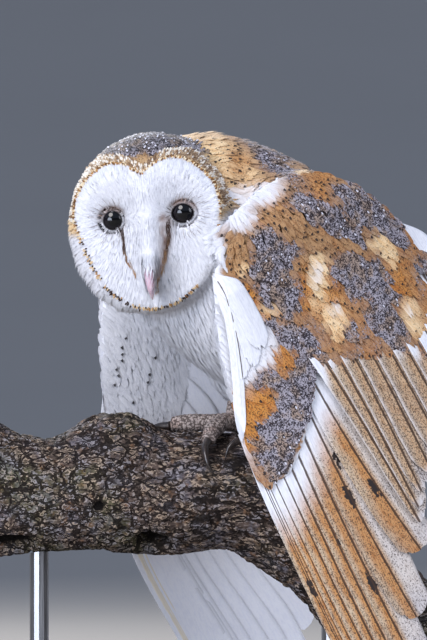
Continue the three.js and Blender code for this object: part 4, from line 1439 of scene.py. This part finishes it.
def round_path(path, away, x, y):
    """Points round a path: x sideways and y away from the bark."""
    sideways = np.cross(away, unit(np.gradient(path, axis=0)))
    return path[:, None] + x[..., None] * sideways[:, None] + y[..., None] * away[:, None]


def toe_shape(foot, steps):
    """A toe with three swollen pads below, and broad scutes over its top."""
    rows = 96
    path, away, radius = perch_path(foot, steps, TOE_HEIGHTS, TOE_RADII, rows)
    angle = round_angles(32)[None]
    share = np.linspace(0, 1, rows)[:, None]
    top = smooth(0.1, 0.8, np.sin(angle))
    scute = np.abs(np.sin(share * np.pi * 13))
    pads = 0.1 * np.maximum(0, np.sin(share * np.pi * 4.5)) * (1 - top)
    ring = 4 * np.stack([np.cos(angle), np.sin(angle), 0 * angle], -1)
    warts = 0.03 * noise(path[:, None] + ring, 1.3, 31) * (1 - top)
    scale = radius[:, None] * (1 + top * (0.07 * scute**0.5 - 0.06) + pads + warts)
    end = np.sqrt(np.clip(1 - np.maximum((share - 0.94) / 0.06, 0) ** 2, 0.02, 1))
    return round_path(path, away, scale * end * np.cos(angle), scale * end * np.sin(angle))


def claw_shape(foot, steps, claw, heights):
    """A claw, deeper than wide, drawn out to a fine point, with a flat side below."""
    path, away, radius = perch_path(foot, [steps[-1], *claw], heights, CLAW_RADII, 40)
    radius = radius[:, None]
    angle = round_angles(24)[None]
    below = np.where(np.sin(angle) < 0, 0.8, 1.1)
    return round_path(path, away, 0.85 * radius * np.cos(angle), radius * below * np.sin(angle))


def ankle_shape(foot):
    """The joint that the toes run from, a short column above the bark."""
    rows = 24
    place = [np.full(rows, float(foot[key])) for key in ("x", "round")]
    ball = np.interp(np.linspace(0, 1, rows), [0, 0.3, 0.75, 1], [6.0, 6.8, 6.2, 5.6])
    path = perch_point(*place, np.linspace(1, 15, rows))
    return tube(path, np.stack([ball, ball], 1), 32, np.array([1.0, 0, 0]))


def make_feet():
    """Each foot's toes as one piece, and its claws as one piece each."""
    skin, horn = foot_finish(), claw_finish()
    for name, foot in FEET.items():
        forms = [*(toe_shape(foot, foot[toe][0]) for toe in TOES), ankle_shape(foot)]
        piece = mesh_piece(f"toes_{name}", *stacked([capped(form) for form in forms]), skin)
        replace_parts(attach(piece, "root"), f"foot_{name}")
        for toe in TOES:
            heights = DUG_IN_HEIGHTS if toe in foot["dug_in"] else CLAW_HEIGHTS
            form = claw_shape(foot, *foot[toe], heights)
            claw = mesh_piece(f"talon_{name}_{toe}", *capped(form), horn)
            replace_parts(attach(claw, "root"), f"claw_{name}_{toe}")


def creases(points, size, seed):
    """0 along thin winding lines and 1 away from them."""
    return smooth(0.02, 0.3, np.abs(noise(points, size, seed)))


# Hollows rotted into the bark, and knobs: x, degrees round from +Y over the top, half-length, half-width
# and depth, which is less than 0 for a knob.
DENTS = [
    (-108, 246, 17, 12, 9), (-31, 243, 12, 12, 10), (-60, 196, 3.5, 3.5, 2),
    (-50, 100, 20, 22, -4.0), (-116, 105, 9, 14, -5.0), (96, 150, 14, 18, -3.0),
]
# What the bark's material reads as its distance from the pith, away from the sawn ends' rings.
OUTSIDE = 30.0
# The rings of points that close each sawn end, as shares of the bark's distance from the pith.
SAWN_RINGS = np.array([0.985, 0.9, 0.75, 0.6, 0.45, 0.3, 0.15, 0.01])


def make_branch():
    """A cut length of branch: bark in short ridges that wind, part and meet, with knobs and hollows."""
    rows, sides = 400, 220
    table = smooth_rows([[x, y, z + PERCH_HEIGHT, ry, rz] for x, y, z, ry, rz in BRANCH_ROWS], rows)
    path = table[:, :3]
    tangent = unit(np.gradient(path, axis=0))
    side = np.array([0, 1.0, 0])
    up = unit(np.cross(tangent, side))
    up = up * np.sign(up[:, 2:])
    angle = round_angles(sides)[None]
    share = np.linspace(0, 1, rows)[:, None]
    swell = 1 + 0.028 * np.sin(3 * angle + 9 * share) + 0.022 * np.sin(5 * angle - 23 * share)
    ring_y, ring_z = table[:, 3, None] * np.cos(angle), table[:, 4, None] * np.sin(angle)
    ring = ring_y[..., None] * side + ring_z[..., None] * up[:, None]
    outward = unit(ring)
    place = path[:, None] + ring * swell[..., None]
    combed = np.array([0.35, 1, 1])
    straight = smooth(-10, 40, place[..., 0] + 20 * noise(place, 40, 41))
    fine = lerp(creases(place, 4.5, 42), creases(place * combed, 4.0, 43), straight)
    broad = lerp(creases(place, 13, 44), creases(place * combed, 12, 45), straight)
    height = 0.9 * (fine - 1) + 1.1 * (broad - 1)
    height = height + 0.6 * noise(place, 22, 46) + 0.35 * noise(place, 2.2, 47)
    # relief falls to nothing in the rotted hollows, which the bark's material paints black as shade.
    relief = 0.55 + 0.45 * broad
    for x, turn, half_length, half_width, depth in DENTS:
        arc = (np.degrees(angle) - turn + 180) % 360 - 180
        wander = 1 + 0.25 * noise(place, 9, 48)
        near = np.hypot((place[..., 0] - x) / half_length, arc * 0.55 / half_width) * wander
        dent = 1 - smooth(0.65, 1.05, near) if depth > 0 else bump(near, 0.8)
        height = height - depth * dent
        if depth > 0:
            relief = relief * (1 - dent)
    place = place + outward * height[..., None]
    data = np.stack(np.broadcast_arrays(relief, OUTSIDE, 0.0), -1)
    # Each end is sawn flat.
    first, last = (path[i] + (place[i] - path[i])[None] * SAWN_RINGS[:, None, None] for i in (0, -1))
    rings = np.stack(np.broadcast_arrays(0.8, OUTSIDE * SAWN_RINGS[:, None], np.ones((1, sides))), -1)
    place = np.concatenate([first[::-1], place, last])
    data = np.concatenate([rings[::-1], data, rings])
    faces = grid_faces(len(place), sides, True)
    branch = mesh_piece("branch_bark", place, faces, bark_finish(), None, {"relief": data})
    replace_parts(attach(branch, "root"), "branch")


# ---- wings and tail ----
# Small dark spots on the underwing, as across and along.
UNDERWING_DOTS = [
    (-6, 39), (-9, 44), (-10, 47), (-11, 50), (-15, 54), (-15, 57), (-18, 61), (5, 55), (0, 62), (-2, 66),
    (-12, 74),
]
# The line that the tips of the wing's longest coverts reach, as along by across.
COVERT_LINE = np.array([
    [-27, 116], [-18, 113], [-8, 106], [4, 96], [14, 84], [22, 74], [33, 66], [46, 68], [58, 72], [72, 85],
    [84, 90], [97, 92],
])
# The two rows of the longest coverts: how many, the line of their tips, length, width and slant.
LONG_COVERTS = [(13, COVERT_LINE[5:], 34, 15, 0.12), (11, COVERT_LINE[:5], 36, 10, -0.06)]
# How far round the fan each feather sits. The outer primaries and the inner secondaries lie close.
PRIMARY_SHARES = [0, 0.17, 0.33, 0.48, 0.62, 0.75, 0.87, 0.95, 0.98, 1.0]
SECONDARY_SHARES = [0, 0.12, 0.24, 0.36, 0.48, 0.59, 0.69, 0.78, 0.85, 0.9, 0.94, 0.97, 1.0]
# The alula's feathers: root and tip as across and along, the webs' widths, and the dark shaft's.
ALULA = [
    ([-2, 8], [-29, 88], 3, 2.5, 0), ([-4, 8], [-16, 60], 3.5, 5, 0.4), ([-4, 5], [-8, 56], 4, 6, 0),
    ([-3, 4], [-1, 50], 5, 7, 0),
]
# Dark blotches on the primaries, as across and along.
PRIMARY_BLOTCHES = [
    (-31, 171), (-5, 158), (-2, 184), (12, 119), (8, 139), (21, 141), (-26, 215), (-8, 232),
]


# How many places along its shaft a covert is laid by.
SHAFT_STATIONS = 5


class Wing:
    """One wing's coverts, placed by across and along on its curved sheet."""

    def __init__(self, side, plumes):
        self.side = side
        self.name = "right" if side > 0 else "left"
        self.plumes = plumes

    def shafts(self, start, heading, length, upper, lifts):
        share = np.linspace(0, 1, SHAFT_STATIONS)
        across = start[:, :1] + heading[:, :1] * length[:, None] * share
        along = start[:, 1:] + heading[:, 1:] * length[:, None] * share
        low, high = lifts
        rise = low + (high * rng.uniform(0.7, 1.2, (len(start), 1)) - low) * share
        out = upper * (np.maximum(wing_height(across, along), 1.0) + rise)
        points, normal = wing_frame(self.side, across, along, out)
        return points, normal * upper

    def lay(self, upper, label, start, heading, length, width, lifts, shape, droplets):
        """Coverts on one face of the wing: upper is 1 on its back and -1 below."""
        count = len(start)
        length = length * rng.uniform(0.9, 1.1, count)
        width = width * rng.uniform(0.9, 1.12, count)
        centre, normal = self.shafts(start, heading, length, upper, lifts)
        reach = length[:, None, None] * (0.24 + 0.6 * np.linspace(0, 1, SHAFT_STATIONS))[:, None]
        place = start[:, None] + heading[:, None] * reach
        under = float(upper < 0)
        tint, marks = wing_marks(self.side, place[..., 0], place[..., 1], under)
        tint = tint * rng.uniform(0.93, 1.04, (count, 1, 1))
        marks[..., 1] = np.maximum(marks[..., 1], under) * (rng.uniform(size=(count, 1)) < droplets)
        # The wing's own sheet is its unwrap: 150 mm across and 160 mm along, with a margin.
        uv = 0.1 + 0.8 * (start + [40, 30]) / [150, 160]
        name = f"coat_wing_{self.name}_{'upper' if upper > 0 else 'under'}_{label}"
        piece = vanes(name, centre, normal, width / 2, uv, tint, marks, self.plumes, shape)
        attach(piece, "root")

    def coverts(self, upper):
        """Small coverts over the pads, larger away from the leading edge, and the rows of long ones."""
        spots = 0.75 if upper > 0 else 0.0
        start = self.roots(upper, 9000, (2.5, 4.4), white=False)
        if upper > 0:
            size = covert_size(start)
            length = np.minimum(lerp(8.5, 19, size), self.room(start))
            width = lerp(4.6, 8.5, size)
            self.lay(upper, "small", start, self.heading(start), length, width, (-0.4, 0.8), SMALL, spots)
        start = self.roots(upper, 26000, (1.8, 2.2), white=True)
        length = np.minimum(10.5, self.room(start))
        self.lay(upper, "white", start, self.heading(start), length, 3.4, (-0.4, 0.5), SMALL, 0)
        if upper < 0:
            dots = np.array(UNDERWING_DOTS, float)
            heading = self.heading(dots)
            self.lay(upper, "dots", dots - heading * 8, heading, 9.5, 3.2, (0.6, 1.3), SMALL, 1.1)
        for number, (count, line, length, width, slant) in enumerate(LONG_COVERTS):
            heading = np.tile([math.sin(slant), math.cos(slant)], (count, 1))
            start = smooth_rows(line, count) - heading * length
            self.lay(upper, f"long_{number}", start, heading, length, width, (-0.8, 0.5), LONG, spots)

    def roots(self, upper, count, spacing, white):
        """Roots over the pads, spaced by the coverts' size, where they are white or where they aren't."""
        start = np.stack([rng.uniform(-32, 100, count), rng.uniform(-26, 104, count)], -1)
        tint, _ = wing_marks(self.side, start[:, 0], start[:, 1] + 5, float(upper < 0))
        whiteness = smooth(0.45, 0.85, tint[:, 2])
        on_pad = (wing_height(start[:, 0], start[:, 1]) > 0.8) & (self.room(start) > 4)
        start = start[on_pad & (whiteness > 0.5 if white else whiteness < 0.6)]
        if not len(start):
            return start
        return start[spread(np.pad(start, ((0, 0), (0, 1))), lerp(*spacing, covert_size(start)))]

    def room(self, start):
        """How long a covert rooted at a place may be before it passes the line of the longest ones."""
        line = np.interp(start[:, 0], *COVERT_LINE.T) + 14 * smooth(20, 32, start[:, 0])
        return 0.85 * (line - start[:, 1])

    def heading(self, start):
        """Coverts point down the wing, leaning back from its leading edge near the wrist."""
        inset = start[:, 0] - leading_edge(start[:, 1])
        lean = 0.12 + 0.75 * (1 - smooth(0, 26, inset)) * (1 - smooth(-5, 30, start[:, 1]))
        if self.side < 0:
            lean = lean - 2.4 * bump(inset - 10, 8) * bump(start[:, 1] + 12, 13)
        lean = lean + 0.25 * smooth(40, 90, start[:, 0]) + rng.normal(0, 0.1, len(start))
        return np.stack([np.sin(lean), np.cos(lean)], -1)


def covert_size(start):
    """0 for the smallest coverts, by the leading edge, to 1 for the largest."""
    return smooth(-5, 62, start[:, 1] - 0.15 * np.abs(start[:, 0] - 40))


def flight_row(name, frame_of, feathers, marks, out, under_tint, material, nodes):
    """One mesh of long feathers from a list of roots, tips and widths, the first one furthest inwards.

    Each is a closed thin vane with a raised shaft. Its leading web laps over the next one outwards.
    `out` is the height over the sheet: a number, or a function of across and along.
    """
    rows, columns = 48, 17
    count = len(feathers)
    v_row = np.linspace(0, 1, rows)[:, None]
    t = np.linspace(-1, 1, columns)[None]
    layers = {key: [] for key in ("place", "tint", "marks", "span", "uv")}
    for i, feather in enumerate(feathers):
        root, tip = np.array(feather["root"], float), np.array(feather["tip"], float)
        length = np.hypot(*(tip - root))
        axis = (tip - root) / length
        sideways = np.array([axis[1], -axis[0]])
        notch = rng.uniform(0, 1, (1, columns)) ** 4 * 3.0 / length
        v = v_row * (1 - feather["blunt"] * np.abs(t) ** 2.4 - notch)
        lead = lerp(*feather["lead"], v)
        wide = smooth(feather.get("narrow", -0.15), 0.2, v) * (1 - 0.15 * smooth(0.75, 1, v))
        across_shaft = np.where(t < 0, lead, feather["trail"]) * t * wide
        bend = feather["bend"] * np.sin(np.pi * v)
        across = root[0] + axis[0] * length * v + sideways[0] * (across_shaft + bend)
        along = root[1] + axis[1] * length * v + sideways[1] * (across_shaft + bend)
        shaft = 0.5 * bump(across_shaft, 0.6) * (1 - 0.85 * v)
        thick = (0.2 * (1 - t**2) + 0.08) * (1 - 0.6 * v) + shaft
        wave = 0.1 * np.sin(v * 31 + 2 * i) * np.abs(t)
        level = (out(across, along) if callable(out) else out) - 0.11 * across_shaft + wave
        sheets = [frame_of(across, along, level + side * thick) for side in (1, -1)]
        tint, mark = marks(across, along, v, np.broadcast_to(t, v.shape))
        span, span_below = (
            np.stack([across_shaft, (1 - v) * length, np.full_like(v, quill)], -1)
            for quill in (feather["quill"], -feather.get("rib", 0.5))
        )
        strip = (i + 0.05 + 0.4 * (t + 1) / 2) / count
        patch = np.stack(np.broadcast_arrays(strip, 0.02 + 0.96 * v), -1)
        below = np.broadcast_to(under_tint, tint.shape)
        for key, upper, lower in (
            ("place", *sheets), ("tint", tint, below), ("marks", mark, 0 * mark),
            ("span", span, span_below), ("uv", patch, patch + np.array([0.5 / count, 0])),
        ):
            layers[key].append(np.concatenate([upper, lower[:, ::-1]], 1))
    layers = {key: np.stack(values) for key, values in layers.items()}
    faces = many_faces(grid_faces(rows, 2 * columns, True), count, rows * 2 * columns)
    attributes = {key: layers[key] for key in ("tint", "marks", "span")}
    piece = mesh_piece(name, layers["place"], faces, material, {"OFBake": layers["uv"]}, attributes)
    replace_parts(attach(piece, "root"), *nodes)


def web_marks(place, t, warm, orange, grey, pale):
    """A web's tint, cream at its edge and golden by the shaft, with grey; white where it isn't warm."""
    wobble = noise(place, 16, 61) + 0.5 * noise(place, 6, 62)
    by_shaft = smooth(-1.0, -0.3, t + 0.3 * wobble) * (1 - smooth(0.0, 0.2, t))
    web = lerp(colour("d9c09c"), colour("c58c4c"), (orange * by_shaft)[..., None])
    ash = np.clip(grey * (0.85 + 0.4 * wobble) * (1 - 0.7 * by_shaft), 0, 1)
    web = lerp(web, colour("a5968c"), ash[..., None])
    inner = smooth(0.05, 0.3, t)
    web = lerp(web, WHITE, (pale * inner)[..., None])
    return lerp(WHITE, web, warm[..., None]), ash, inner


def primary_marks(across, along, v, t):
    """White up by the coverts, then golden and pencilled, with dark blotches on the shaft."""
    place = np.stack([across, along, np.full_like(across, 3.0)], -1)
    gap = along - np.interp(across, *COVERT_LINE.T) + 4 * noise(place, 12, 63)
    warm = smooth(6, 34, gap)
    tint, ash, inner = web_marks(place, t, warm, 1.0, 0.55 + 0.35 * smooth(0.8, 1, v), 0.45)
    near = [np.hypot(across - spot_across, 0.4 * (along - spot_along))
            for spot_across, spot_along in PRIMARY_BLOTCHES]
    spot = bump(np.min(near, 0), 3.2) * bump(t + 0.05, 0.45)
    freckles = warm * (0.6 + 0.4 * ash) * (1 - 0.3 * inner)
    return tint, np.stack([np.zeros_like(v), 0.95 * spot * warm, freckles], -1)


def secondary_marks(across, along, v, t):
    """White up by the coverts, then cream and grey, with pale edges and tips."""
    place = np.stack([across, along, np.full_like(across, 9.0)], -1)
    gap = along - np.interp(across, *COVERT_LINE.T) + 3 * noise(place, 12, 64)
    warm = smooth(1, 15, gap + 7 * smooth(-0.7, -0.1, t))
    fringe = np.maximum(smooth(0.955, 0.985, v), smooth(-0.8, -0.97, -np.abs(t)))
    tint, ash, _ = web_marks(place, t, warm * (1 - 0.45 * fringe), 0.45, 0.85, 0.3)
    freckles = warm * (0.8 + 0.2 * ash) * (1 - fringe)
    return tint, np.stack([0.3 * ash * warm, np.zeros_like(v), freckles], -1)


def tail_marks(across, along, v, t):
    """Golden and grey with dark bars."""
    place = np.stack([across, along, np.full_like(across, 5.0)], -1)
    tint, ash, _ = web_marks(place, t, smooth(0.05, 0.3, v), 0.7, 0.5, 0.75)
    bar = smooth(0.45, 0.9, np.cos(along * 2 * math.pi / 27 + 0.6 * noise(place, 14, 65)))
    return tint, np.stack([0.75 * bar, np.zeros_like(v), 0.5 + 0.3 * ash], -1)


def plain_marks(across, *_):
    return np.broadcast_to(WHITE, (*across.shape, 3)), np.zeros((*across.shape, 3))


def leading_web(place_of, share, next_share, widest):
    """A leading web's widths at root and tip: most of the gap to the next feather, within limits."""
    (root, tip), (next_root, next_tip) = place_of(share), place_of(next_share)
    axis = np.subtract(tip, root)
    length = np.hypot(*axis)
    gaps = []
    for place in (next_root, next_tip):
        reach = np.subtract(place, root)
        gaps.append(abs(axis[0] * reach[1] - axis[1] * reach[0]) / length)
    far = np.dot(np.subtract(next_tip, root), axis) / length**2
    return np.clip(0.86 * np.array([gaps[0], lerp(gaps[0], gaps[1], 1 / far)]), 1.6, widest)


def make_wing(side, plumes, material):
    """One wing's coverts in the material `plumes`, and its flight feathers and alula in the other."""
    wing = Wing(side, plumes)
    for upper in (1, -1):
        wing.coverts(upper)

    def place(across, along, out):
        return wing_frame(side, across, along, out)[0]

    def over_hand(across, along):
        return 1.2 + pad_height(HAND_ROWS, across, along)

    def fan(part, label, feathers, marks, out, under_tint=UNDERWING):
        name, nodes = f"{label}_feathers_{wing.name}", [f"wing_{wing.name}_{part}"]
        flight_row(name, place, feathers, marks, out, under_tint, material, nodes)

    feathers = []
    for i, share in enumerate(PRIMARY_SHARES):
        root, tip = primary(share)
        outermost = share == 1
        j = min(i + 1, len(PRIMARY_SHARES) - 1)
        lead = leading_web(primary, PRIMARY_SHARES[j - 1], PRIMARY_SHARES[j], 12)
        lead = np.maximum(lead, 3 if outermost else 0)
        feathers.append({
            "root": root, "tip": tip, "lead": lead, "trail": 14, "blunt": 0.05, "bend": -2.0,
            "quill": np.interp(share, [0.6, 0.95], [0.85, 0.3]), "rib": 1.1 if outermost else 0.4,
        })
    fan("primaries", "primary", feathers, primary_marks, -0.9)
    feathers = []
    for i, share in enumerate(SECONDARY_SHARES):
        root, tip = secondary(share)
        j = max(i, 1)
        lead = leading_web(secondary, SECONDARY_SHARES[j], SECONDARY_SHARES[j - 1], 11)
        feathers.append({
            "root": root, "tip": tip, "lead": lead, "trail": 13, "blunt": 0.1, "bend": 1.0, "quill": 0.9,
        })
    fan("secondaries", "secondary", feathers, secondary_marks, 1.2)
    feathers = [
        {"root": root, "tip": tip, "lead": (lead, lead), "trail": trail, "blunt": 0.12, "bend": 1.5,
         "quill": quill, "narrow": -0.02}
        for root, tip, lead, trail, quill in ALULA
    ]
    fan("alula", "alula", feathers, plain_marks, over_hand, WHITE)


def tail_place(across, along, out):
    """Places `out` above the tail, which slopes down backwards and is a little rounded across."""
    camber = 5 * (across / 34) ** 2 - out
    c, s = math.cos(TAIL["pitch"]), math.sin(TAIL["pitch"])
    back, height = TAIL["back"] + along * c - camber * s, TAIL["height"] - along * s - camber * c
    return body_point(back, across, height)


def make_tail(material):
    feathers = []
    for i in range(TAIL_FEATHERS):
        share = (2 * i + 1) / TAIL_FEATHERS - 1
        reach = TAIL["length"] * (1 - 0.07 * share**2)
        tip = [share * (9 + reach * math.tan(TAIL["spread"])), reach]
        feathers.append({
            "root": [8 * share, -8], "tip": tip, "lead": (3, 6), "trail": 9, "blunt": 0.1, "bend": 0,
            "quill": 0.8,
        })
    flight_row("tail_feathers", tail_place, feathers, tail_marks, 0.5, UNDERWING, material, ["tail"])


# ---- putting it together ----
# The order matters: every part draws its random numbers from the same source.
make_stage()
plumes = plumage()
flights = flight_plumage()
skin, labels = make_skin()
unwrap(skin)
ground = Ground(skin, labels)
mark_skin(skin, labels)
skin.data.materials.clear()
skin.data.materials.append(skin_finish())
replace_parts(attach(skin, "root"), *FLESH)
ground.cover([piece.data for piece in (*make_eyes(), make_bill())])
lay = partial(coat, ground, plumes)
coat_head(ground, lay)
coat_body(ground, lay)
make_feet()
make_branch()
for side in (-1, 1):
    make_wing(side, plumes, flights)
make_tail(flights)
paint, steel = paint_finish(), steel_finish()
for name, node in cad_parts.items():
    if name.startswith("stand_"):
        node.data.materials.clear()
        node.data.materials.append(paint if name == "stand_base" else steel)
